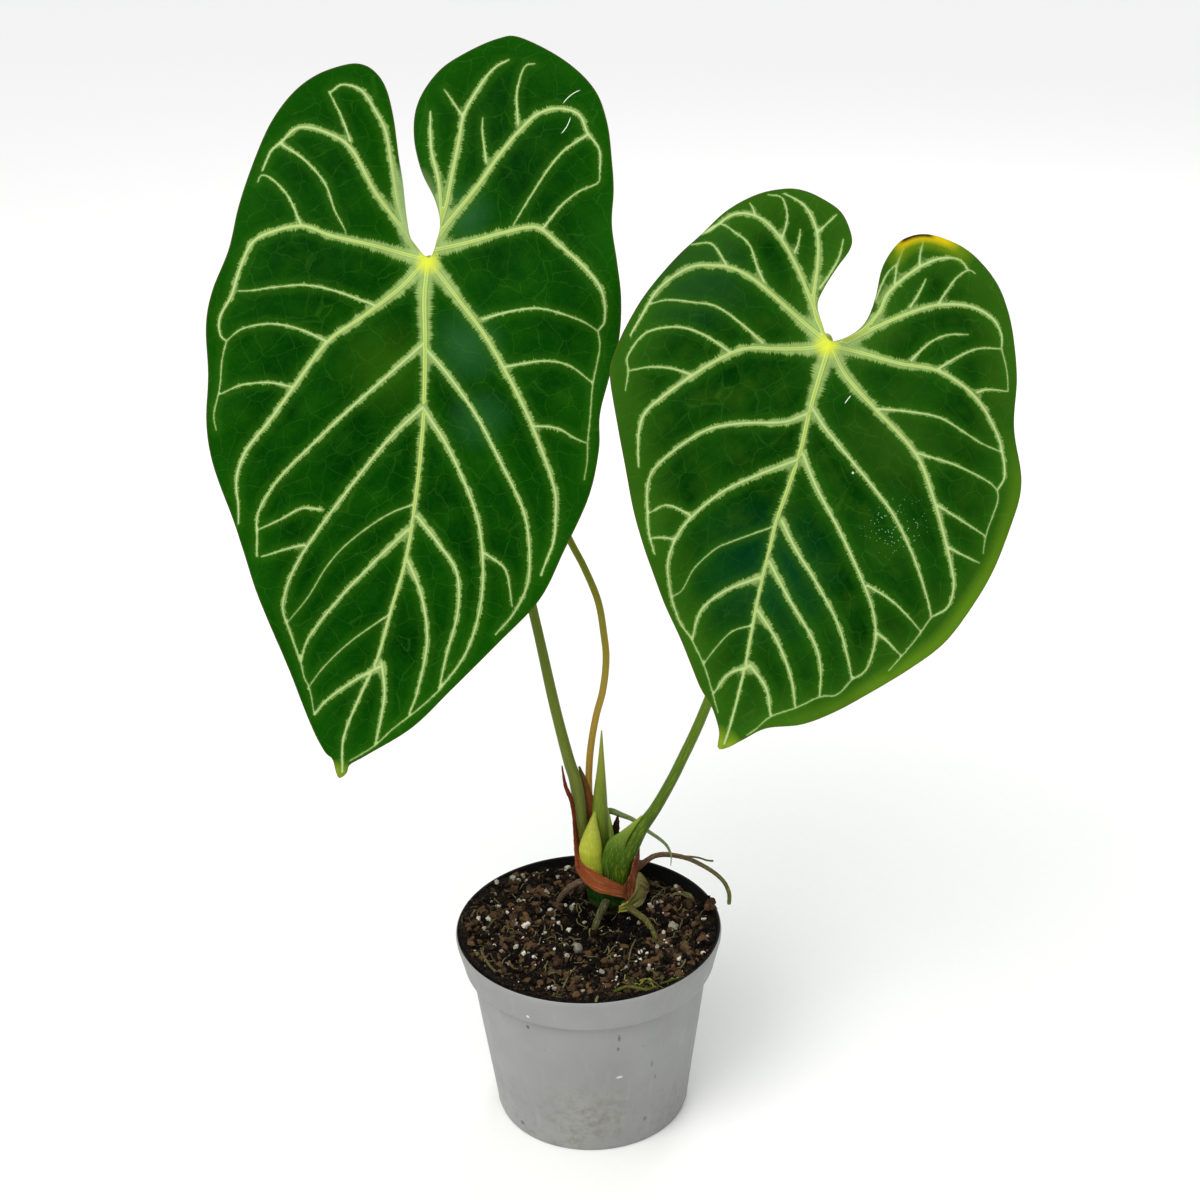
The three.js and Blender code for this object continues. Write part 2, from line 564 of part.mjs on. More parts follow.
// A long narrow sheath leaf behind the flower's spadix, bent back over its length.
function spathe() {
  const { base, length, width, thick, lean, yaw } = SPATHE;
  const columns = 4;
  const bend = 0.006;
  const sheet = slab(columns, 10, (a, b, side) => {
    const half = (width / 2) * Math.max(0.12, Math.sin(Math.PI * (0.1 + 0.87 * b)) ** 0.8);
    const u = (2 * a - 1) * half;
    return new THREE.Vector3(u, b * length, 0.03 * u * u - bend * (b * length) ** 2 + (side * thick) / 2);
  });
  sheet.rotateX(THREE.MathUtils.degToRad(90 - lean)).rotateY(THREE.MathUtils.degToRad(yaw));
  return solid(sheet.translate(...base));
}

// A value that follows straight lines between [degrees, value] pairs.
function follow(pairs) {
  return (degrees) => {
    const after = pairs.findIndex(([at]) => at >= degrees);
    if (after < 0) return pairs[pairs.length - 1][1];
    if (after === 0) return pairs[0][1];
    const [a, b] = [pairs[after - 1], pairs[after]];
    return a[1] + ((degrees - a[0]) / (b[0] - a[0])) * (b[1] - a[1]);
  };
}

// The dried sheath round the crown's front: high at its two sides and drawn down to a low point right of the
// middle, with a torn tip on its left.
const COLLAR = {
  from: -92,
  to: 76,
  top: follow([
    [-92, 120], [-80, 119], [-58, 115], [-30, 111], [-7, 108.4], [12, 105.4], [27, 103], [39, 107.5],
    [51, 113.5], [60, 116], [76, 117],
  ]),
  bottom: follow([
    [-92, 108], [-69, 105.8], [-49, 102.8], [-20, 99.7], [8, 98.4], [23, 97], [36, 94], [52, 98], [66, 105],
    [76, 108],
  ]),
  radius: follow([[-92, 15.2], [-60, 15.2], [-30, 13.8], [0, 13.4], [30, 14.2], [60, 13.9], [76, 13.9]]),
};

// The pale fibrous remains of an older sheath, flaring out on the right below the collar.
const OLD_SHEATH = {
  from: 18,
  to: 98,
  top: follow([[18, 92], [36, 93.4], [52, 98], [66, 106.5], [85, 100], [98, 95]]),
  bottom: follow([[18, 88.5], [60, 88], [98, 89.5]]),
  radius: follow([[18, 12.3], [52, 13.4], [66, 14.4], [85, 16.8], [98, 18.4]]),
};

function sheathBand({ from, to, top, bottom, radius }, grow = 0) {
  return wrap({
    centre: CROWN.centre,
    from: from - 2 * grow,
    to: to + 2 * grow,
    bottom: (degrees) => bottom(degrees) - grow,
    top: (degrees) => top(degrees) + grow,
    radius,
    thick: CROWN.sheath + 2 * grow,
  });
}

// Tubes of the crown: the rows each one follows and how finely its sweep is divided.
const petioleForm = { sides: 8, steps: 27 };
const budForm = { sides: 8, steps: 9 };
const sheathForm = { sides: 6, steps: 8, flat: 0.4 };
const rootForm = { sides: 6, steps: 10 };
const TUBES = {
  petioleLeft: [LEFT_PETIOLE, petioleForm],
  petioleRight: [RIGHT_PETIOLE, petioleForm],
  wingRight: [RIGHT_WING, { ...budForm, flat: 0.45 }],
  stem: [STEM, { sides: 12, steps: 13 }],
  bud: [BUD_SHEATH, budForm],
  newLeaf: [NEW_LEAF, { sides: 8, steps: 8 }],
  stalk: [FLOWER_STALK, { sides: 6, steps: 24 }],
  spadix: [SPADIX, { sides: 8, steps: 8 }],
  innerSheath: [INNER_SHEATH, sheathForm],
  brownSheath: [BROWN_SHEATH, sheathForm],
  collarTip: [COLLAR_TIP, { sides: 5, steps: 9, flat: 0.45, across: [0.6, 0.8, 0] }],
  scrap: [SCRAP, sheathForm],
  bract: [PALE_BRACT, { sides: 5, steps: 16, flat: 0.45, across: [0, 0, 1] }],
  rootArching: [ROOT_ARCHING, { sides: 6, steps: 18 }],
  rootlet: [ROOTLET, { sides: 5, steps: 6 }],
  rootFront: [ROOT_FRONT, rootForm],
  rootStub: [ROOT_STUB, rootForm],
  rootLeft: [ROOT_LEFT, rootForm],
  rootSurface: [ROOT_SURFACE, { sides: 5, steps: 9 }],
};

// A tube itself, and the room it takes from its neighbours: the same tube grown by the gap.
function tube(name, grow = 0) {
  const [rows, form] = TUBES[name];
  return solid(sweep(rows, { ...form, grow }));
}

function rooms(...names) {
  return names.map((name) => tube(name, GAP));
}

// Assembly. Each piece of the crown is cut clear of the ones that it lies against.
const leftLines = leafLines(LEFT_LEAF);
const rightLines = leafLines(RIGHT_LEAF);
const petioleRight = join(tube('petioleRight'), tube('wingRight'));
const petioles = rooms('petioleLeft', 'petioleRight', 'wingRight');
const core = [...petioles, ...rooms('stem')];
const heart = [...core, ...rooms('bud', 'newLeaf')];
const collarRoom = [solid(sheathBand(COLLAR, GAP)), ...rooms('collarTip')];
const crown = [...heart, ...collarRoom, ...rooms('stalk')];
const wholeCollar = join(solid(sheathBand(COLLAR)), tube('collarTip'));
const wholeArching = join(tube('rootArching'), tube('rootlet'));
const soilRooms = rooms('stem', 'rootFront', 'rootStub', 'rootLeft', 'rootSurface');

addNode('pot', pot(), 0xa8a8a6, 0.55);
addNode('potting_mix', cut(pottingMix(), ...soilRooms), 0x241a12, 0.95);
addNode('stem', cut(tube('stem'), ...petioles), 0x1f4a1a, 0.45);
addNode('blade_left', blade(LEFT_LEAF, leftLines), 0x145010, 0.55);
addNode('blade_right', blade(RIGHT_LEAF, rightLines), 0x1a5a12, 0.55);
addNode('petiole_left', cut(tube('petioleLeft'), bladeRoom(LEFT_LEAF, leftLines)), 0x66722a, 0.45);
const petioleCuts = [bladeRoom(RIGHT_LEAF, rightLines), ...rooms('petioleLeft')];
addNode('petiole_right', cut(petioleRight, ...petioleCuts), 0x527a1c, 0.45);
addNode('bud_sheath', cut(tube('bud'), ...core), 0xa9ab3a, 0.5);
addNode('new_leaf', cut(tube('newLeaf'), ...core, ...rooms('bud')), 0x7d9130, 0.45);
addNode('flower_stalk', cut(tube('stalk'), ...core, ...rooms('newLeaf')), 0x96762c, 0.5);
addNode('spadix', cut(tube('spadix'), ...rooms('stalk')), 0x8a7a34, 0.6);
addNode('spathe', cut(spathe(), ...rooms('stalk', 'spadix')), 0x5f7a2c, 0.5);
addNode('inner_sheath', cut(tube('innerSheath'), ...heart), 0x8fa46a, 0.55);
addNode('brown_sheath', cut(tube('brownSheath'), ...heart, ...rooms('stalk')), 0x3a1608, 0.7);
addNode('dry_collar', cut(wholeCollar, ...heart), 0xa85c38, 0.75);
const oldSheathCuts = [...crown, ...rooms('rootArching', 'rootFront')];
addNode('old_sheath', cut(solid(sheathBand(OLD_SHEATH)), ...oldSheathCuts), 0x8f7a5a, 0.8);
addNode('withered_scrap', cut(tube('scrap'), ...crown), 0x140e0a, 0.8);
addNode('pale_bract', cut(tube('bract'), ...crown), 0x8fa274, 0.6);
addNode('root_front', cut(tube('rootFront'), ...core, ...collarRoom), 0x6b6336, 0.7);
addNode('root_stub', cut(tube('rootStub'), ...core, ...collarRoom), 0x6b6344, 0.7);
addNode('root_left', cut(tube('rootLeft'), ...core, ...collarRoom), 0x6b5640, 0.7);
addNode('root_arching', cut(wholeArching, ...core, ...collarRoom), 0x7a6a3a, 0.6);
addNode('root_surface', tube('rootSurface'), 0x6d6a3a, 0.7);

export default plant;
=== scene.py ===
# %% [markdown]
# # A young anthurium in its nursery pot
# A house plant is made of very different skins: velvety blades with pale veins, smooth petioles, papery dry
# sheaths, corky roots, crumbly peat and moulded plastic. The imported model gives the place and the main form
# of each piece. This lesson makes a fine mesh for each one in the same place and gives it a finish from
# nodes.

import math

import bmesh
import bpy
import numpy as np
from mathutils import Euler, Matrix, Vector, geometry, noise


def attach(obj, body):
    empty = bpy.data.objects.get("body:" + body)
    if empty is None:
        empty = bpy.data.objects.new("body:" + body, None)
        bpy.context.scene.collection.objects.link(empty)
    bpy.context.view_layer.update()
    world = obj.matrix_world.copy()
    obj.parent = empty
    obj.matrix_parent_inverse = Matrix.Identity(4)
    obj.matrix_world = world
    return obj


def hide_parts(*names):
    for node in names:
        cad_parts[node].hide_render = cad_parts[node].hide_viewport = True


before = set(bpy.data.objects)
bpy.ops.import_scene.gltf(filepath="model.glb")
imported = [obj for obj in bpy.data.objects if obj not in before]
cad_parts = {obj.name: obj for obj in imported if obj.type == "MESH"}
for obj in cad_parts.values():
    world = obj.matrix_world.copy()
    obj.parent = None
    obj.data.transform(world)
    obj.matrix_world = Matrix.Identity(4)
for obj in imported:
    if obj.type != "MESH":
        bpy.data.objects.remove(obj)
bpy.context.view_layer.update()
MM = 0.001
print("nodes in the packed model:", len(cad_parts))

# %% [markdown]
# ## Camera
# The rim of the pot is a circle 120 mm across, so the flat oval that it makes in the photograph gives the
# height, distance and tilt of the camera. The lens is a short telephoto, and the camera leans 1.3 degrees.

# %% Camera
PHOTO_SIZE = 1200
FOCAL_PX = 2183
CAMERA_MM = Vector((8.5, -829, 648.2))
LOOK_DOWN = math.radians(25.4)
LEAN = math.radians(1.3)
SENSOR_MM = 36

ahead = Vector((0, math.cos(LOOK_DOWN), -math.sin(LOOK_DOWN)))
level_up = Vector((0, math.sin(LOOK_DOWN), math.cos(LOOK_DOWN)))
level_right = Vector((1, 0, 0))
right = level_right * math.cos(LEAN) - level_up * math.sin(LEAN)
up = level_right * math.sin(LEAN) + level_up * math.cos(LEAN)

lens = bpy.data.cameras.new("camera")
lens.sensor_width = SENSOR_MM
lens.lens = FOCAL_PX / PHOTO_SIZE * SENSOR_MM
camera = bpy.data.objects.new("camera", lens)
camera.matrix_world = Matrix.Translation(CAMERA_MM * MM) @ Matrix((right, up, -ahead)).transposed().to_4x4()
bpy.context.scene.collection.objects.link(camera)
bpy.context.scene.camera = camera
print("lens in mm:", round(lens.lens, 1))


def ray_through(x, y):
    """The direction from the camera through a pixel of the 1200 px photograph."""
    half = PHOTO_SIZE / 2
    return (ahead + right * ((x - half) / FOCAL_PX) - up * ((y - half) / FOCAL_PX)).normalized()


# %% [markdown]
# ## Helpers
# A few small functions serve all the pieces: one turns sRGB hex colours to linear ones, one adds a node, one
# lays colours over each other by masks, and one turns arrays of points and faces into a piece of the model.

# %% Colours and nodes
def linear(hex_colour):
    """The linear colour of an sRGB hex value."""
    parts = [int(hex_colour[i:i + 2], 16) / 255 for i in (1, 3, 5)]
    straight = [c / 12.92 if c <= 0.04045 else ((c + 0.055) / 1.055) ** 2.4 for c in parts]
    return (*straight, 1.0)


def add_node(tree, kind, inputs=None, **settings):
    """Adds a node. An input is a value or the socket of another node."""
    node = tree.nodes.new(kind)
    for name, value in settings.items():
        setattr(node, name, value)
    for name, value in (inputs or {}).items():
        if isinstance(value, bpy.types.NodeSocket):
            tree.links.new(value, node.inputs[name])
        else:
            node.inputs[name].default_value = value
    return node


def new_material(name, values):
    """A material with its constant values set on the shader's own sockets."""
    material = bpy.data.materials.new(name)
    material.use_nodes = True
    shader = material.node_tree.nodes["Principled BSDF"]
    for socket, value in values.items():
        shader.inputs[socket].default_value = value
    return material, material.node_tree, shader


def lay_over(tree, colour, layers):
    """Lays hex colours over one another. Each layer is its mask and its colour."""
    for mask, top in layers:
        values = {"Fac": mask, "Color1": colour, "Color2": linear(top)}
        colour = add_node(tree, "ShaderNodeMixRGB", values).outputs["Color"]
    return colour


def finish_surface(tree, shader, colour, height, depth_mm, strength=0.7):
    """Links a colour and a relief, whose height of 1 stands for depth_mm."""
    tree.links.new(colour, shader.inputs["Base Color"])
    values = {"Height": height, "Distance": depth_mm * MM, "Strength": strength}
    bump = add_node(tree, "ShaderNodeBump", values)
    tree.links.new(bump.outputs["Normal"], shader.inputs["Normal"])


print("sRGB #808080 in linear light:", round(linear("#808080")[0], 3))


# %% Curves and soft noise
def smooth_line(points, per=8, closed=False):
    """A smooth curve through the points, with `per` steps from one to the next."""
    p = np.asarray(points, float)
    if closed:
        rows = [np.roll(p, 1 - k, axis=0) for k in range(4)]
    else:
        padded = np.vstack([2 * p[0] - p[1], p, 2 * p[-1] - p[-2]])
        rows = [padded[k:k + len(p) - 1] for k in range(4)]
    a, b, c, d = (row[:, None, :] for row in rows)
    t = (np.arange(per) / per)[None, :, None]
    curve = b + 0.5 * t * ((c - a) + t * ((2 * a - 5 * b + 4 * c - d) + t * (3 * (b - c) + d - a)))
    curve = curve.reshape(-1, p.shape[1])
    return curve if closed else np.vstack([curve, p[-1]])


def evenly(line, step, closed=False):
    """The same line with points at even steps."""
    line = np.vstack([line, line[:1]]) if closed else np.asarray(line)
    length = np.concatenate([[0], np.cumsum(np.linalg.norm(np.diff(line, axis=0), axis=1))])
    at = np.linspace(0, length[-1], max(2, round(length[-1] / step)) + 1)
    even = np.column_stack([np.interp(at, length, column) for column in line.T])
    return even[:-1] if closed else even


def lumps(points, size, seed=0):
    """Soft noise, about -1 to 1, with lumps of the given size in mm."""
    shift = Vector((17.3 * seed, 5.1, -3.7))
    return np.array([noise.noise(Vector(p) / size + shift) for p in np.asarray(points, float)])

# %% Faces and pieces
def tube_faces(count, sides):
    """Faces of a closed tube. Its points are `count` rings, then the middles of its first and last end."""
    around = [(j, (j + 1) % sides) for j in range(sides)]
    faces = [(k * sides + j, k * sides + after, (k + 1) * sides + after, (k + 1) * sides + j)
             for k in range(count - 1) for j, after in around]
    first, last, top = count * sides, count * sides + 1, (count - 1) * sides
    faces += [(first, after, j) for j, after in around]
    return faces + [(last, top + j, top + after) for j, after in around]


def part_numbers(parts):
    """For each face, the number of the part that it belongs to."""
    return [number for number, part in enumerate(parts) for _face in part["faces"]]


def add_piece(name, parts, materials, node=None, slot=None, sharp=55, face_materials=None):
    """Makes one piece of parts. A part has points in mm, faces, and values that its finish reads."""
    starts = np.cumsum([0] + [len(part["points"]) for part in parts])
    points = np.concatenate([part["points"] for part in parts]) * MM
    faces = [tuple(int(i) + int(start) for i in face)
             for part, start in zip(parts, starts) for face in part["faces"]]
    mesh = bpy.data.meshes.new(name)
    mesh.from_pydata(points.tolist(), [], faces)
    for key in parts[0]:
        if key not in ("points", "faces"):
            data = np.concatenate([part[key] for part in parts]).astype(np.float32)
            kind = ("FLOAT", "value") if data.ndim == 1 else ("FLOAT_VECTOR", "vector")
            mesh.attributes.new(key, kind[0], "POINT").data.foreach_set(kind[1], data.ravel())
    for material in materials:
        mesh.materials.append(material)
    if face_materials is not None:
        mesh.polygons.foreach_set("material_index", face_materials)
    mesh.polygons.foreach_set("use_smooth", [True] * len(mesh.polygons))
    mesh.set_sharp_from_angle(angle=math.radians(sharp))
    mesh.update()
    piece = bpy.data.objects.new(name, mesh)
    bpy.context.scene.collection.objects.link(piece)
    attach(piece, "root")
    if node:
        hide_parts(node)
    slot or node
    print(f"{name}: {len(mesh.polygons)} faces")
    return piece


# %% [markdown]
# ## Stage
# The plant stands on a plain pale floor. A wide soft sun from the upper left, two large lamps and a pale
# room light it, so that shadows stay soft and the floor is almost white.

# %% Floor
FLOOR_HALF_M = 7
FLOOR_DROP_M = 0.0003
BOARD_GRAIN_M = 0.004
floor_mesh = bpy.data.meshes.new("floor")
corners = [(FLOOR_HALF_M * x, FLOOR_HALF_M * y, -FLOOR_DROP_M)
           for x, y in ((-1, -1), (1, -1), (1, 1), (-1, 1))]
floor_mesh.from_pydata(corners, [], [(0, 1, 2, 3)])
floor = bpy.data.objects.new("floor", floor_mesh)
bpy.context.scene.collection.objects.link(floor)
paint, paint_tree, paint_shader = new_material("matt_painted_board", {"Roughness": 0.8})
mottle = add_node(paint_tree, "ShaderNodeTexNoise", {
    "Vector": add_node(paint_tree, "ShaderNodeTexCoord").outputs["Object"], "Scale": 1 / BOARD_GRAIN_M})
pale = lay_over(paint_tree, linear("#f4f4f2"), [(mottle.outputs["Fac"], "#f7f7f5")])
finish_surface(paint_tree, paint_shader, pale, mottle.outputs["Fac"], depth_mm=0.05, strength=0.3)
floor_mesh.materials.append(paint)
print("floor width in m:", 2 * FLOOR_HALF_M)

# %% Lamps and room
PLANT_MIDDLE_M = Vector((0, 0, 0.22))
# Each lamp's place and size in metres, its watts and its colour.
LIGHTS = {
    "key": ((-0.75, -0.9, 1.5), 1.0, 9, "#fffaf2"),
    "back": ((0.35, 1.15, 1.25), 0.8, 6, "#ffffff"),
}
for name, (place, size, watts, colour) in LIGHTS.items():
    lamp = bpy.data.lights.new(name, "AREA")
    lamp.shape = "DISK"
    lamp.size = size
    lamp.energy = watts
    lamp.color = linear(colour)[:3]
    lamp_object = bpy.data.objects.new(name, lamp)
    lamp_object.location = place
    aim = PLANT_MIDDLE_M - Vector(place)
    lamp_object.rotation_euler = aim.to_track_quat("-Z", "Y").to_euler()
    bpy.context.scene.collection.objects.link(lamp_object)

# A very wide sun stands for a large window, and lights the floor evenly.
window = bpy.data.lights.new("window", "SUN")
window.energy = 1.55
window.angle = math.radians(55)
window_object = bpy.data.objects.new("window", window)
window_object.rotation_euler = Vector((0.35, 0.55, -1)).to_track_quat("-Z", "Y").to_euler()
bpy.context.scene.collection.objects.link(window_object)

world = bpy.data.worlds.new("pale_room")
world.use_nodes = True
world.node_tree.nodes["Background"].inputs["Color"].default_value = linear("#f4f6f8")
world.node_tree.nodes["Background"].inputs["Strength"].default_value = 0.62
bpy.context.scene.world = world
bpy.context.scene.view_settings.view_transform = "Standard"
print("lights: window,", ", ".join(LIGHTS))

# %% [markdown]
# ## Leaves: lines of the two blades
# Each blade is drawn flat first, in millimetres from the point where the petiole joins: u to the right and v
# up. The outline and the veins were read from the photograph as a few points each, and a smooth curve
# runs through them. Eight or nine main ribs fan out from the joint, and side ribs leave the midrib.

# %% Lines of the left blade
LEFT_LEAF = {
    "origin": (-59, 45, 389), "tilt": 22, "yaw": -4, "roll": -9.7, "wing": 0.12, "curl": 0.0012,
    "arch": 0.0009, "arch_at": -55, "wave": 2.4, "waves": (9, 0.6, 14, 2.1),
    "outline": [
        [0, 2], [-9, 8], [-13, 18], [-17, 31], [-21, 42], [-26, 57], [-31, 68], [-36, 74], [-42, 77],
        [-49, 76], [-60, 69], [-69, 58], [-76, 43], [-80, 26], [-82, 10], [-83, -8], [-86, -26],
        [-86, -45], [-82, -68], [-76, -94], [-65, -116], [-54, -137], [-42, -158], [-31, -179],
        [-21, -199], [-13, -211], [-9, -214], [-7, -219], [-5, -222], [-2, -219], [-1, -215], [6, -209],
        [24, -193], [38, -174], [55, -150], [69, -129], [76, -107], [82, -83], [83, -64], [81, -50],
        [82, -35], [83, -18], [81, -1], [77, 13], [72, 28], [70, 42], [67, 54], [62, 70], [54, 83],
        [39, 93], [20, 99], [11, 97], [-1, 89], [-11, 79], [-17, 65], [-16, 51], [-10, 37], [-2, 26],
        [2, 17], [2, 9],
    ],
    "midrib": [
        [[0, 0], [1, -15], [5, -36], [9, -64], [11, -93], [11, -121], [8, -144], [5, -166], [0, -183],
         [-5, -203], [-4, -219]],
    ],
    "basal": [
        [[-5, 5], [-11, 11], [-17, 22], [-23, 38], [-28, 51], [-34, 59], [-41, 66], [-49, 67], [-53, 63]],
        [[-2, 2], [-12, 11], [-27, 25], [-40, 41], [-52, 46], [-63, 46], [-69, 39], [-73, 34], [-75, 26]],
        [[-2, 1], [-22, 3], [-41, 4], [-54, 6], [-67, 1], [-74, -5], [-77, -17], [-78, -27], [-81, -37],
         [-80, -44], [-77, -46]],
        [[-2, -1], [-11, -14], [-23, -27], [-35, -39], [-44, -56], [-53, -74], [-62, -90], [-64, -102],
         [-62, -112], [-61, -120]],
        [[1, 10], [2, 19], [-2, 34], [-7, 45], [-9, 52], [-11, 62]],
        [[1, 10], [3, 23], [3, 35], [3, 51], [3, 64], [8, 78], [12, 85], [17, 89]],
        [[1, 7], [5, 17], [14, 34], [21, 49], [27, 60], [33, 68], [41, 72], [50, 71], [55, 64], [61, 58],
         [63, 49]],
        [[1, 5], [15, 11], [28, 17], [38, 21], [44, 21], [54, 15], [65, 8], [73, 0], [76, -11],
         [74, -16]],
        [[1, 0], [14, -12], [27, -24], [39, -38], [51, -54], [61, -70], [68, -84], [70, -94], [71, -104],
         [69, -114], [68, -119]],
    ],
    "side": [
        [[4, -33], [-7, -47], [-20, -63], [-33, -80], [-46, -98], [-53, -114], [-52, -125], [-51, -132]],
        [[8, -59], [-4, -75], [-17, -98], [-28, -119], [-35, -136], [-37, -151], [-33, -161],
         [-27, -174]],
        [[10, -110], [-2, -126], [-15, -145], [-25, -163], [-27, -174]],
        [[6, -170], [-4, -178], [-14, -188], [-19, -196]],
        [[5, -35], [16, -44], [31, -59], [44, -76], [56, -93], [61, -107], [63, -123], [59, -137],
         [53, -147]],
        [[9, -60], [23, -76], [37, -98], [43, -117], [45, -136], [42, -157], [33, -175]],
        [[13, -104], [24, -114], [33, -124], [36, -140], [34, -159], [33, -175]],
        [[12, -123], [20, -137], [25, -155], [24, -177], [22, -187]],
        [[7, -168], [10, -180], [10, -193], [9, -204]],
    ],
    "branch": [
        [[-41, 44], [-47, 54], [-54, 63]],
        [[-69, 38], [-58, 33], [-48, 25], [-42, 15], [-36, 7]],
        [[-55, 7], [-62, 17], [-70, 23], [-75, 24], [-76, 21]],
        [[-19, -21], [-37, -18], [-49, -18], [-61, -21], [-71, -24], [-77, -25]],
        [[-36, -39], [-48, -36], [-60, -36], [-71, -40], [-77, -46]],
        [[-47, -60], [-57, -60], [-68, -63], [-76, -68]],
        [[2, 63], [-2, 67], [-7, 72]],
        [[26, 63], [23, 76], [24, 87], [28, 89]],
        [[55, 63], [47, 55], [42, 46], [37, 34], [32, 21]],
        [[16, 45], [12, 57], [11, 63]],
        [[44, 21], [50, 32], [56, 39], [63, 44], [63, 48]],
        [[27, -19], [38, -14], [50, -11], [66, -13], [74, -16]],
        [[39, -37], [54, -32], [65, -32], [75, -37]],
        [[54, -59], [64, -58], [73, -61], [78, -62]],
        [[43, -114], [50, -117], [54, -121], [58, -134]],
        [[-27, -108], [-35, -109], [-43, -115], [-52, -121]],
        [[-32, -124], [-37, -126], [-49, -132]],
    ],
    "thin": [
        [[11, -99], [0, -106], [-13, -119], [-21, -131], [-27, -145], [-34, -157]],
        [[7, -147], [-7, -161], [-17, -174], [-23, -185]],
    ],
    "collective": [
        [[-77, -46], [-78, -55], [-77, -66], [-77, -77], [-75, -83]],
        [[-27, -174], [-25, -180], [-22, -185], [-19, -196]],
        [[74, -16], [76, -23], [76, -38], [77, -49], [78, -62], [79, -69], [79, -77]],
        [[33, -175], [26, -184], [16, -195], [9, -204], [-1, -213]],
    ],
}
print("points on the left blade's outline:", len(LEFT_LEAF["outline"]))

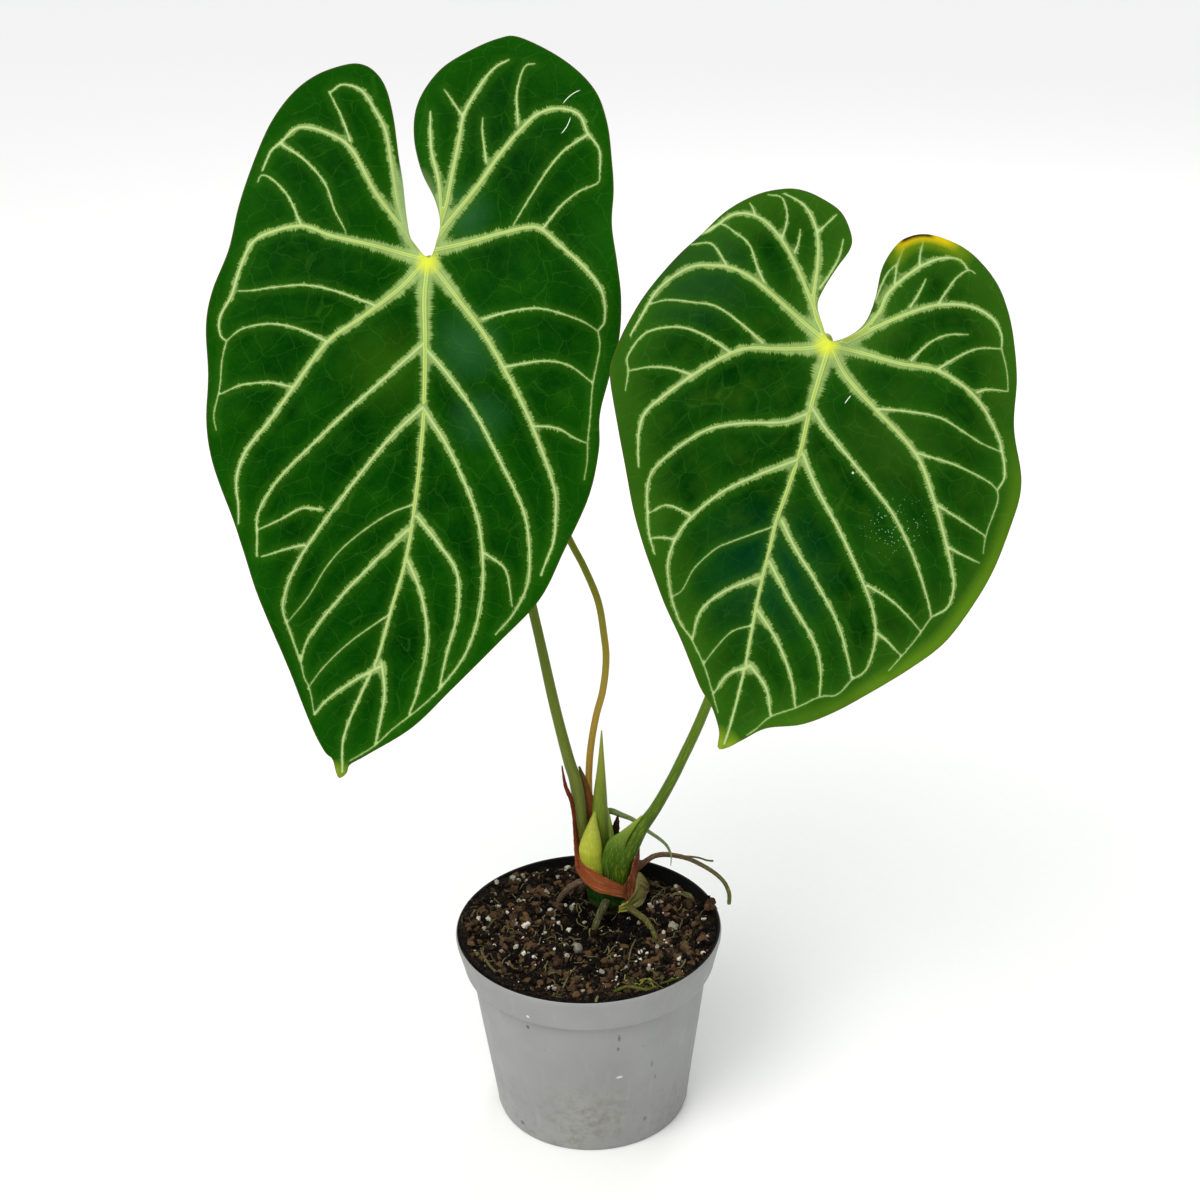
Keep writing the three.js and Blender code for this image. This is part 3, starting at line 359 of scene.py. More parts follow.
# %% Lines of the right blade
RIGHT_LEAF = {
    "origin": (102, 10, 361), "tilt": 27, "yaw": 8, "roll": -14.3, "wing": 0.12, "curl": 0.0013,
    "arch": 0.0011, "arch_at": -45, "wave": 2.2, "waves": (8, 1.9, 13, 0.4),
    "outline": [
        [1, 2], [-3, 8], [-6, 16], [-4, 24], [0, 33], [4, 41], [4, 47], [-1, 56], [-10, 61], [-18, 63],
        [-26, 62], [-37, 57], [-48, 48], [-57, 36], [-66, 24], [-75, 9], [-80, -3], [-84, -17],
        [-85, -28], [-79, -47], [-72, -66], [-64, -85], [-58, -98], [-50, -111], [-39, -126], [-28, -143],
        [-21, -151], [-16, -160], [-15, -167], [-11, -166], [-6, -162], [2, -156], [16, -152], [30, -144],
        [43, -134], [56, -122], [68, -109], [77, -92], [84, -74], [87, -57], [87, -41], [82, -18],
        [80, 1], [76, 19], [71, 31], [64, 41], [54, 50], [45, 54], [37, 55], [30, 53], [24, 48], [19, 37],
        [18, 24], [15, 13], [9, 6],
    ],
    "midrib": [
        [[1, 1], [-1, -13], [-3, -29], [-4, -43], [-6, -56], [-9, -73], [-10, -87], [-11, -103],
         [-11, -122], [-11, -135], [-12, -156], [-13, -165]],
    ],
    "basal": [
        [[-1, 3], [-6, 11], [-8, 19], [-8, 31], [-9, 43], [-12, 51], [-17, 57], [-25, 60]],
        [[-1, 2], [-7, 14], [-17, 31], [-27, 43], [-36, 48], [-45, 47], [-53, 39], [-57, 36]],
        [[-1, 2], [-16, 11], [-31, 20], [-41, 24], [-50, 24], [-60, 21], [-71, 10], [-76, -2],
         [-79, -10]],
        [[-1, 1], [-6, -2], [-19, -5], [-31, -7], [-39, -11], [-50, -20], [-63, -33], [-69, -41],
         [-70, -50], [-68, -62]],
        [[6, 3], [14, 9], [20, 18], [23, 27], [32, 38], [42, 45], [50, 46], [54, 42]],
        [[8, 3], [20, 12], [31, 19], [43, 25], [56, 27], [66, 24], [71, 18], [72, 12]],
        [[3, 0], [14, 0], [30, -2], [46, -2], [59, -7], [68, -14], [75, -23], [78, -30], [80, -40],
         [78, -46]],
        [[2, -1], [11, -12], [23, -22], [42, -37], [52, -53], [60, -69], [64, -78], [67, -87], [66, -96],
         [60, -101]],
    ],
    "side": [
        [[-4, -29], [-13, -34], [-31, -38], [-45, -44], [-59, -58], [-63, -67], [-61, -79], [-59, -88],
         [-56, -95]],
        [[-5, -48], [-20, -57], [-34, -67], [-46, -82], [-50, -96], [-47, -108], [-41, -119],
         [-35, -125]],
        [[-12, -97], [-24, -104], [-32, -112], [-34, -119], [-34, -126]],
        [[-10, -133], [-17, -137], [-21, -145]],
        [[-3, -25], [6, -35], [22, -49], [37, -63], [48, -78], [56, -92], [60, -101]],
        [[-3, -45], [5, -58], [18, -75], [29, -91], [36, -103], [39, -114], [38, -126], [33, -131]],
        [[-7, -73], [1, -84], [10, -94], [22, -109], [29, -122], [33, -131]],
        [[-9, -90], [1, -103], [14, -118], [19, -128], [21, -140]],
        [[-10, -110], [0, -121], [8, -134], [12, -146]],
        [[-9, -132], [-1, -140], [3, -151]],
    ],
    "branch": [
        [[-9, 47], [-6, 51], [-3, 55]],
        [[-6, 23], [-3, 29], [0, 37], [1, 45]],
        [[-24, 40], [-23, 50], [-26, 58], [-32, 58]],
        [[-18, 36], [-17, 41], [-17, 46]],
        [[-36, 48], [-38, 52], [-39, 53]],
        [[-29, 21], [-33, 27], [-37, 35], [-43, 39], [-50, 42], [-57, 36]],
        [[-45, 25], [-50, 31], [-54, 33], [-62, 30]],
        [[-26, -4], [-36, 2], [-47, 7], [-56, 7], [-67, 6], [-74, 3]],
        [[-39, -10], [-48, -6], [-57, -4], [-66, -5], [-74, -9], [-79, -19], [-78, -25], [-78, -33]],
        [[-53, -22], [-61, -21], [-70, -22], [-78, -25]],
        [[25, 30], [25, 39], [27, 47]],
        [[18, 23], [21, 34], [25, 40]],
        [[34, 40], [34, 46], [35, 52]],
        [[43, 25], [49, 37], [54, 42], [57, 41]],
        [[32, 22], [35, 29], [37, 35]],
        [[47, -1], [54, 5], [62, 10], [72, 12]],
        [[64, -8], [68, -6], [77, -5]],
        [[35, 0], [41, 8], [48, 13], [57, 15]],
        [[24, -22], [36, -21], [49, -21], [58, -24], [68, -28], [77, -30]],
        [[43, -37], [59, -39], [73, -43], [78, -46]],
        [[54, -56], [64, -60], [77, -65]],
        [[62, -72], [68, -74], [76, -76]],
        [[32, -93], [42, -97], [51, -103], [56, -107]],
        [[39, -111], [43, -113], [50, -118]],
        [[-45, -77], [-54, -75], [-60, -79]],
        [[-49, -88], [-53, -88], [-58, -89]],
    ],
    "thin": [
        [[-10, -76], [-26, -85], [-32, -89], [-39, -98], [-42, -107], [-45, -110]],
        [[-11, -116], [-19, -120], [-24, -127], [-28, -135]],
    ],
    "collective": [
        [[72, 12], [75, 4], [77, -5]],
        [[78, -46], [79, -51], [77, -64], [77, -72]],
        [[60, -101], [56, -109], [51, -118], [47, -125]],
        [[33, -131], [28, -138], [21, -140], [12, -146], [3, -151], [-2, -157], [-5, -160]],
        [[-35, -125], [-27, -136], [-21, -147], [-18, -153]],
    ],
}
print("points on the right blade's outline:", len(RIGHT_LEAF["outline"]))

# %% Kinds of vein
# Half the width of the pale band at its start, a fifth along, four fifths along and at its end, the depth of
# the rib under the blade, both in mm, and how strong the rib is.
VEIN_KINDS = {
    "midrib": ((3.5, 1.1, 0.8, 0.35), 1.7, 1.0),
    "basal": ((3.2, 1.6, 1.2, 0.3), 1.4, 0.8),
    "side": ((1.9, 1.2, 0.95, 0.45), 1.2, 0.5),
    "branch": ((1.1, 0.7, 0.5, 0.2), 0.6, 0.35),
    "thin": ((0.45, 0.25, 0.2, 0.1), 0.5, 0.2),
    "collective": ((0.35, 0.35, 0.35, 0.2), 0.5, 0.15),
}
for name, leaf in (("left", LEFT_LEAF), ("right", RIGHT_LEAF)):
    print(name, "blade's veins:", sum(len(leaf[kind]) for kind in VEIN_KINDS))

# %% [markdown]
# ## Leaves: from flat lines to a blade
# Triangles are laid between the outline and the veins, so that no triangle crosses a vein and each pale band
# stays sharp. Then the sheet is bent: two wings rise from the midrib and curl back, the blade arches, its
# margin waves and it bulges between ribs. The back gets the ribs as keels. Each point keeps its distance
# from the nearest band, vein and margin, and the finish reads these values.

# %% How fine the blade mesh is
BLADE_HALF_MM = 0.35
FINE_MM = {"outline": 1.4, "vein": 1.6, "grid": 2.0}
BAND_STEPS = (0, 0.22, 0.8, 1)
# A rib deeper than this is a main one. Rows of points run beside each rib, and other points keep clear of
# them and of the margin. All in mm.
MAIN_DEPTH_MM = 1
BESIDE_MM = {"main": 1.25, "fine": 0.85}
CLEAR_MM = {"main": 1.9, "fine": 1.3, "beside": 0.7, "margin": 0.9}
# The keel under a rib and the ridge over it: half width in mm, how much lower it ends, and height.
KEEL = {"reach": 1.1, "taper": 0.45}
RIDGE = {"reach": 0.9, "taper": 0.5, "height": 0.3}
# Each vein reads its own stretch of the fringe pattern and fades towards its end.
PATTERN_SHIFT_MM = 41
VEIN_FADE = 0.6
# The sheet is softly uneven: height and size of the lumps in mm, and their seed.
SHEET_LUMPS = ((0.35, 15, 4), (0.12, 5, 5))
FAR_MM = 99.0
print("blade thickness in mm:", 2 * BLADE_HALF_MM)

# %% Where a point lies
def to_line(points, line):
    """How far each point is from a line, how far along it, 0 to 1, the nearest place is, and the side."""
    start, step = line[:-1], np.diff(line, axis=0)
    gap = points[:, None] - start
    along = np.clip((gap * step).sum(-1) / (step * step).sum(-1), 0, 1)
    distance = np.linalg.norm(gap - along[..., None] * step, axis=-1)
    nearest = distance.argmin(1)
    each = np.arange(len(points))
    off, way = gap[each, nearest], step[nearest]
    hand = np.sign(way[:, 0] * off[:, 1] - way[:, 1] * off[:, 0])
    return distance[each, nearest], (nearest + along[each, nearest]) / len(start), hand


def inside(points, outline):
    """Which points lie inside a closed outline."""
    a, b = outline, np.roll(outline, -1, axis=0)
    x, y = points[:, :1], points[:, 1:]
    spans = (a[:, 1] > y) != (b[:, 1] > y)
    crossing = a[:, 0] + (y - a[:, 1]) * (b[:, 0] - a[:, 0]) / (b[:, 1] - a[:, 1] + 1e-9)
    return (spans & (x < crossing)).sum(1) % 2 == 1

# %% Form of the blade
def blade_height(leaf, p, edge, rib_gap):
    """How far the blade stands out of its plane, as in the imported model."""
    crease, reach, quilt_depth, quilt_reach = 5, 28, 0.9, 9
    u, v = p.T
    midrib = np.array(leaf["midrib"][0])
    side = u - np.interp(-v, -midrib[:, 1], midrib[:, 0])
    rise = leaf["wing"] * (np.hypot(side, crease) - crease) - leaf["curl"] * side ** 2
    arch = leaf["arch"] * (leaf["arch_at"] ** 2 - (v - leaf["arch_at"]) ** 2)
    angle = np.arctan2(u, v - leaf["arch_at"])
    slow, slow_start, quick, quick_start = leaf["waves"]
    ripple = np.sin(slow * angle + slow_start) + 0.5 * np.sin(quick * angle + quick_start)
    near_edge = np.clip(1 - edge / reach, 0, 1)
    bulge = quilt_depth * (1 - np.exp(-(rib_gap / quilt_reach) ** 2))
    return rise + arch + leaf["wave"] * near_edge ** 2 * ripple + bulge

# %% Flat triangles
def blade_triangles(leaf, outline, veins):
    """Points and triangles of the flat blade, with edges along its outline and veins."""
    points = list(outline)
    edges = []
    for line, _half, _depth, _power in veins:
        kept = line[inside(line, outline)]
        edges += [(len(points) + i, len(points) + i + 1) for i in range(len(kept) - 1)]
        points += list(kept)
    beside = []
    for line, _half, depth, _power in veins:
        flank = BESIDE_MM["main" if depth > MAIN_DEPTH_MM else "fine"]
        turn = np.gradient(line, axis=0)
        turn = turn[:, ::-1] * (-1, 1) / np.linalg.norm(turn, axis=1)[:, None]
        beside += [line + flank * turn, line - flank * turn]
    step = FINE_MM["grid"]
    low, high = outline.min(0), outline.max(0)
    rows = []
    for k, v in enumerate(np.arange(low[1], high[1], step * math.sqrt(3) / 2)):
        u = np.arange(low[0] + (k % 2) * step / 2, high[0], step)
        rows.append(np.column_stack([u, np.full(len(u), v)]))
    loose = np.concatenate(beside + rows)
    is_grid = np.arange(len(loose)) >= sum(len(b) for b in beside)
    loose_kept = inside(loose, outline)
    closed = np.vstack([outline, outline[:1]])
    loose_kept &= to_line(loose, closed[::2])[0] > CLEAR_MM["margin"]
    for line, _half, depth, _power in veins:
        from_rib = CLEAR_MM["main" if depth > MAIN_DEPTH_MM else "fine"]
        loose_kept &= to_line(loose, line)[0] > np.where(is_grid, from_rib, CLEAR_MM["beside"])
    points += list(loose[loose_kept])
    flat = [Vector(p) for p in points]
    only_inside, tolerance = 1, 1e-4
    result = geometry.delaunay_2d_cdt(flat, edges, [list(range(len(outline)))], only_inside, tolerance)
    return np.array([v[:] for v in result[0]]), [tuple(f) for f in result[2]]

# %% The whole blade
def leaf_matrix(leaf):
    """Stands the flat blade up at its joint, leaning and turned as in the photograph."""
    turns = Matrix.Rotation(math.radians(leaf["yaw"]), 4, "Z")
    turns = turns @ Matrix.Rotation(math.radians(90 - leaf["tilt"]), 4, "X")
    turns = turns @ Matrix.Rotation(math.radians(leaf["roll"]), 4, "Z")
    return Matrix.Translation(leaf["origin"]) @ turns


def leaf_part(leaf):
    """One whole blade, front, back and rim, with the values that its finish reads."""
    outline = evenly(smooth_line(leaf["outline"], 10, closed=True), FINE_MM["outline"], closed=True)
    veins = [(evenly(smooth_line(route, 6), FINE_MM["vein"]), half, depth, power)
             for kind, (half, depth, power) in VEIN_KINDS.items() for route in leaf[kind]]
    p, faces = blade_triangles(leaf, outline, veins)
    area = sum((p[b] - p[a])[0] * (p[c] - p[a])[1] - (p[b] - p[a])[1] * (p[c] - p[a])[0] for a, b, c in faces)
    if area < 0:
        faces = [face[::-1] for face in faces]
    count = len(p)
    band, line, rib_gap = (np.full(count, FAR_MM) for _ in range(3))
    keel, ridge = np.zeros(count), np.zeros(count)
    vein = np.zeros((count, 3))
    for number, (route, half, depth, power) in enumerate(veins):
        gap, along, hand = to_line(p, route)
        length = FINE_MM["vein"] * (len(route) - 1)
        here = gap - np.interp(along, BAND_STEPS, half)
        closer = here < band
        side = hand * np.clip(gap, 0, 1)
        strength = power * (1 - VEIN_FADE * along)
        place = along * length + PATTERN_SHIFT_MM * number
        vein[closer] = np.column_stack([place, side, strength])[closer]
        line[closer] = gap[closer]
        band = np.minimum(band, here)
        hang = depth * (1 - KEEL["taper"] * along) * np.exp(-(gap / KEEL["reach"]) ** 2)
        keel = np.maximum(keel, hang)
        rise = RIDGE["height"] * power * (1 - RIDGE["taper"] * along) * np.exp(-(gap / RIDGE["reach"]) ** 2)
        ridge = np.maximum(ridge, rise)
        if depth > MAIN_DEPTH_MM:
            rib_gap = np.minimum(rib_gap, gap)
    edge = to_line(p, np.vstack([outline, outline[:1]])[::2])[0]
    flat = np.column_stack([p, np.zeros(count)])
    height = blade_height(leaf, p, edge, rib_gap)
    for rise, size, seed in SHEET_LUMPS:
        height = height + rise * lumps(flat, size, seed)
    front = np.column_stack([p, height + BLADE_HALF_MM + ridge])
    back = np.column_stack([p, height - BLADE_HALF_MM - keel])
    matrix = np.array(leaf_matrix(leaf))
    both = np.concatenate([front, back]) @ matrix[:3, :3].T + matrix[:3, 3]
    used = {(a, b) for face in faces for a, b in zip(face, face[1:] + face[:1])}
    rim = [(b, a, a + count, b + count) for a, b in sorted(used) if (b, a) not in used]
    all_faces = faces + [tuple(i + count for i in face[::-1]) for face in faces] + rim
    part = {"points": both, "faces": all_faces, "back": np.repeat([0.0, 1.0], count)}
    for name, values in {"skin": flat, "band": band, "line": line, "edge": edge, "vein": vein}.items():
        part[name] = np.concatenate([values, values])
    print("blade length in mm:", round(float(np.ptp(p[:, 1]))))
    return part


# %% [markdown]
# ## Leaves: a velvety blade with pale veins
# The upper skin is made of tiny domed cells, which give a dark satin velvet. Over the veins the skin is
# silvery with a feathered edge, and the vein itself is a thin yellow-green line. Between the ribs lie faint
# pleats and a faint net of small veins, about 11 mm and 3.4 mm apart. The margin is a fine brown line. Each
# of these is a mask from the stored distances or from a pattern in real millimetres.

# %% Blade colours and patterns
# Noise on a blade: the size of its patches in mm, its detail and its roughness.
BLADE_NOISE = {
    "clouds": (30, 3, 0.5), "patches": (12, 4, 0.5), "threads": (1.1, 3, 0.7), "cells": (0.45, 1, 0.5),
}
# Two nets of small veins: the width of a mesh in mm, the line's share of it and how strong the line is.
WIDE_NET = (11.0, 0.022, 0.13)
FINE_NET = (3.4, 0.05, 0.06)
# One of these colours, for the thin dark line beside each rib, is painted shade.
LINE_COLOURS = {
    "fine_net": "#3c7a20", "wide_net": "#4a8028", "veil": "#2c5e0c", "silver": "#86a258",
    "pale": "#a4bd78", "core": "#b4ca8c", "yellow": "#b7cb62", "dull": "#8ba038", "groove_shade": "#55802a",
    "joint": "#d2da3e", "margin": "#5c4220", "scratch": "#e6eedc", "dust": "#8fb89a", "back": "#6f9a4a",
}
SCRATCH_HALF_MM = 0.16
print("colours of lines on a blade:", len(LINE_COLOURS))


# %% Pale fringe of the veins
def vein_fringe(tree, vein, power, band, threads):
    """Masks of the silvery skin over a vein, of its paler middle and of the soft veil round it."""
    # The pale skin reaches out from each vein in small tufts, set by how far along the vein a place is. It
    # fades over a wider strip where the vein is strong.
    beside = add_node(tree, "ShaderNodeVectorMath", {
        0: vein, 1: (1, 1.2, 0)}, operation="MULTIPLY").outputs[0]
    hairs = add_node(tree, "ShaderNodeTexNoise", {
        "Vector": beside, "Scale": 1 / 0.6, "Detail": 3, "Roughness": 0.7}).outputs["Fac"]
    tufts = add_node(tree, "ShaderNodeTexNoise", {
        "Vector": beside, "Scale": 1 / 3.6, "Detail": 2}).outputs["Fac"]
    hair = add_node(tree, "ShaderNodeMapRange", {
        "Value": hairs, "From Min": 0.43, "From Max": 0.73, "To Max": 2.1}).outputs[0]
    tuft = add_node(tree, "ShaderNodeMapRange", {
        "Value": tufts, "From Min": 0.35, "From Max": 0.68, "To Min": -0.5, "To Max": 0.7}).outputs[0]
    reach = add_node(tree, "ShaderNodeMath", {0: hair, 1: tuft}, operation="ADD").outputs[0]
    share = add_node(tree, "ShaderNodeMapRange", {"Value": power, "To Min": 0.35, "To Max": 1}).outputs[0]
    spike = add_node(tree, "ShaderNodeMath", {0: reach, 1: share}, operation="MULTIPLY").outputs[0]
    grain = add_node(tree, "ShaderNodeMath", {
        0: threads, 1: 1.2, 2: band}, operation="MULTIPLY_ADD").outputs[0]
    ragged = add_node(tree, "ShaderNodeMath", {0: grain, 1: spike}, operation="SUBTRACT").outputs[0]
    cubed = add_node(tree, "ShaderNodeMath", {0: power, 1: 3}, operation="POWER").outputs[0]
    softness = add_node(tree, "ShaderNodeMath", {
        0: cubed, 1: 0.75, 2: 0.42}, operation="MULTIPLY_ADD").outputs[0]
    scaled = add_node(tree, "ShaderNodeMath", {0: ragged, 1: softness}, operation="DIVIDE").outputs[0]
    silver = add_node(tree, "ShaderNodeMapRange", {
        "Value": scaled, "From Min": 1.1, "From Max": -0.3, "To Max": 0.95}).outputs[0]
    pale = add_node(tree, "ShaderNodeMapRange", {
        "Value": scaled, "From Min": -0.7, "From Max": -2.8, "To Max": 0.7}).outputs[0]
    veil = add_node(tree, "ShaderNodeMapRange", {
        "Value": ragged, "From Min": 4.0, "From Max": 0.2, "To Max": 0.45}).outputs[0]
    return silver, pale, veil


# %% Ribs
def rib_lines(tree, line, power):
    """How far a place is from a rib's side, and the masks of its core, yellow, dull middle and the painted
    shade at its sides.
    """
    # The rib itself is a narrow raised line. In the main ribs it is yellow-green, a little duller in its
    # middle, with a thin dark line of painted shade at each side.
    rib_half = add_node(tree, "ShaderNodeMath", {0: power, 1: 0.75}, operation="MULTIPLY").outputs[0]
    from_rib = add_node(tree, "ShaderNodeMath", {0: line, 1: rib_half}, operation="SUBTRACT").outputs[0]
    core = add_node(tree, "ShaderNodeMapRange", {
        "Value": from_rib, "From Min": 0.24, "From Max": -0.22, "To Max": 0.85}).outputs[0]
    main = add_node(tree, "ShaderNodeMapRange", {
        "Value": power, "From Min": 0.42, "From Max": 0.8, "To Max": 0.9}).outputs[0]
    yellow = add_node(tree, "ShaderNodeMath", {0: core, 1: main}, operation="MULTIPLY").outputs[0]
    middle = add_node(tree, "ShaderNodeMapRange", {
        "Value": line, "From Min": 0.38, "From Max": 0.1, "To Max": 0.75}).outputs[0]
    dull = add_node(tree, "ShaderNodeMath", {0: middle, 1: main}, operation="MULTIPLY").outputs[0]
    # The thin dark line beside the raised rib is painted shade.
    on_side = add_node(tree, "ShaderNodeMath", {
        0: from_rib, 1: 0.38, 2: 0.17}, operation="COMPARE").outputs[0]
    groove_shade = add_node(tree, "ShaderNodeMath", {0: on_side, 1: 0.3}, operation="MULTIPLY").outputs[0]
    return from_rib, core, yellow, dull, groove_shade


# %% Nets of small veins and pleats
def small_nets(tree, skin):
    """The masks of the two nets of small veins, bent by noise."""
    warp = add_node(tree, "ShaderNodeTexNoise", {"Vector": skin, "Scale": 1 / 5}).outputs["Color"]
    bent = add_node(tree, "ShaderNodeVectorMath", {
        0: warp, 1: (4, 4, 0), 2: skin}, operation="MULTIPLY_ADD")
    nets = []
    for spacing, thickness, amount in (WIDE_NET, FINE_NET):
        net = add_node(tree, "ShaderNodeTexVoronoi", {"Vector": bent.outputs[0], "Scale": 1 / spacing},
                       feature="DISTANCE_TO_EDGE").outputs["Distance"]
        nets.append(add_node(tree, "ShaderNodeMapRange", {
            "Value": net, "From Min": thickness, "From Max": 0, "To Max": amount}).outputs[0])
    return nets


def side_pleats(tree, skin):
    """The mask of faint pleats that run out from the midrib, in the way of the side ribs."""
    u, v = (add_node(tree, "ShaderNodeSeparateXYZ", {0: skin}).outputs[axis] for axis in ("X", "Y"))
    out_from_middle = add_node(tree, "ShaderNodeMath", {0: u}, operation="ABSOLUTE").outputs[0]
    half_blade = add_node(tree, "ShaderNodeCombineXYZ", {"X": out_from_middle, "Y": v}).outputs[0]
    across, lengthwise = (
        add_node(tree, "ShaderNodeVectorMath", {
            0: half_blade, 1: way}, operation="DOT_PRODUCT").outputs["Value"]
        for way in ((0.8, 0.6, 0), (0.06, -0.08, 0)))
    pleat_place = add_node(tree, "ShaderNodeCombineXYZ", {"X": across, "Y": lengthwise}).outputs[0]
    pleats = add_node(tree, "ShaderNodeTexNoise", {
        "Vector": pleat_place, "Scale": 1 / 2.6, "Detail": 3, "Roughness": 0.6}).outputs["Fac"]
    return add_node(tree, "ShaderNodeMapRange", {
        "Value": pleats, "From Min": 0.46, "From Max": 0.72, "To Max": 0.6}).outputs[0]


# %% Lighter fields
def lighter_fields(tree, clouds, patches, band, edge):
    """Masks of soft lighter fields: in clouds, in patches between the ribs and along the margin."""
    cloud_mask = add_node(tree, "ShaderNodeMapRange", {
        "Value": clouds, "From Min": 0.36, "From Max": 0.64}).outputs[0]
    open_field = add_node(tree, "ShaderNodeMapRange", {
        "Value": band, "From Min": 2, "From Max": 12, "To Min": 0.3}).outputs[0]
    patch_mask = add_node(tree, "ShaderNodeMapRange", {
        "Value": patches, "From Min": 0.45, "From Max": 0.72, "To Max": 0.8}).outputs[0]
    between = add_node(tree, "ShaderNodeMath", {
        0: open_field, 1: patch_mask}, operation="MULTIPLY").outputs[0]
    rim_gap = add_node(tree, "ShaderNodeMath", {
        0: clouds, 1: 26, 2: edge}, operation="MULTIPLY_ADD").outputs[0]
    rim_mask = add_node(tree, "ShaderNodeMapRange", {
        "Value": rim_gap, "From Min": 32, "From Max": 11, "To Max": 0.85}).outputs[0]
    return cloud_mask, between, rim_mask


# %% Painted sheen, real spots, scratches and dried drops
def soft_spots(tree, spots, skin, edge, patches, threads):
    """A layer for each soft round spot. A spot with a depth keeps to the margin."""
    layers = []
    for place, outer, inner, depth, colour, amount in spots:
        gap = add_node(tree, "ShaderNodeVectorMath", {0: skin, 1: place}, operation="DISTANCE")
        rough_gap = add_node(tree, "ShaderNodeMath", {
            0: patches, 1: 0.4 * outer, 2: gap.outputs["Value"]}, operation="MULTIPLY_ADD").outputs[0]
        mask = add_node(tree, "ShaderNodeMapRange", {
            "Value": rough_gap, "From Min": 1.2 * outer, "From Max": 0.2 * outer + inner,
            "To Max": amount}).outputs[0]
        if depth:
            rough_edge = add_node(tree, "ShaderNodeMath", {
                0: threads, 1: 0.3 * depth, 2: edge}, operation="MULTIPLY_ADD").outputs[0]
            near = add_node(tree, "ShaderNodeMapRange", {
                "Value": rough_edge, "From Min": 1.15 * depth, "From Max": 0.5 * depth}).outputs[0]
            mask = add_node(tree, "ShaderNodeMath", {0: mask, 1: near}, operation="MULTIPLY").outputs[0]
        layers.append((mask, colour))
    return layers


def thin_scratches(tree, scratches, skin):
    """A layer for each scratch: a short piece of a thin circle."""
    layers = []
    for at, centre, half_length in scratches:
        radius = math.dist(at, centre)
        round_gap = add_node(tree, "ShaderNodeVectorMath", {0: skin, 1: centre}, operation="DISTANCE")
        on_line = add_node(tree, "ShaderNodeMath", {
            0: round_gap.outputs["Value"], 1: radius, 2: SCRATCH_HALF_MM}, operation="COMPARE").outputs[0]
        gap = add_node(tree, "ShaderNodeVectorMath", {
            0: skin, 1: at}, operation="DISTANCE").outputs["Value"]
        near = add_node(tree, "ShaderNodeMapRange", {
            "Value": gap, "From Min": half_length, "From Max": 0.7 * half_length, "To Max": 0.95}).outputs[0]
        scratch = add_node(tree, "ShaderNodeMath", {0: on_line, 1: near}, operation="MULTIPLY").outputs[0]
        layers.append((scratch, LINE_COLOURS["scratch"]))
    return layers


def dried_drops(tree, skin, middle, reach):
    """A layer of fine drops of hard water, dried on the blade."""
    gap = add_node(tree, "ShaderNodeVectorMath", {0: skin, 1: middle}, operation="DISTANCE")
    field = add_node(tree, "ShaderNodeMapRange", {
        "Value": gap.outputs["Value"], "From Min": reach, "From Max": reach / 3,
        "To Max": 0.2}).outputs[0]
    drops = add_node(tree, "ShaderNodeTexVoronoi", {
        "Vector": skin, "Scale": 1 / 1.3}).outputs["Distance"]
    near = add_node(tree, "ShaderNodeMath", {0: drops, 1: field}, operation="LESS_THAN").outputs[0]
    dust = add_node(tree, "ShaderNodeMath", {0: near, 1: 0.6}, operation="MULTIPLY").outputs[0]
    return [(dust, LINE_COLOURS["dust"])]


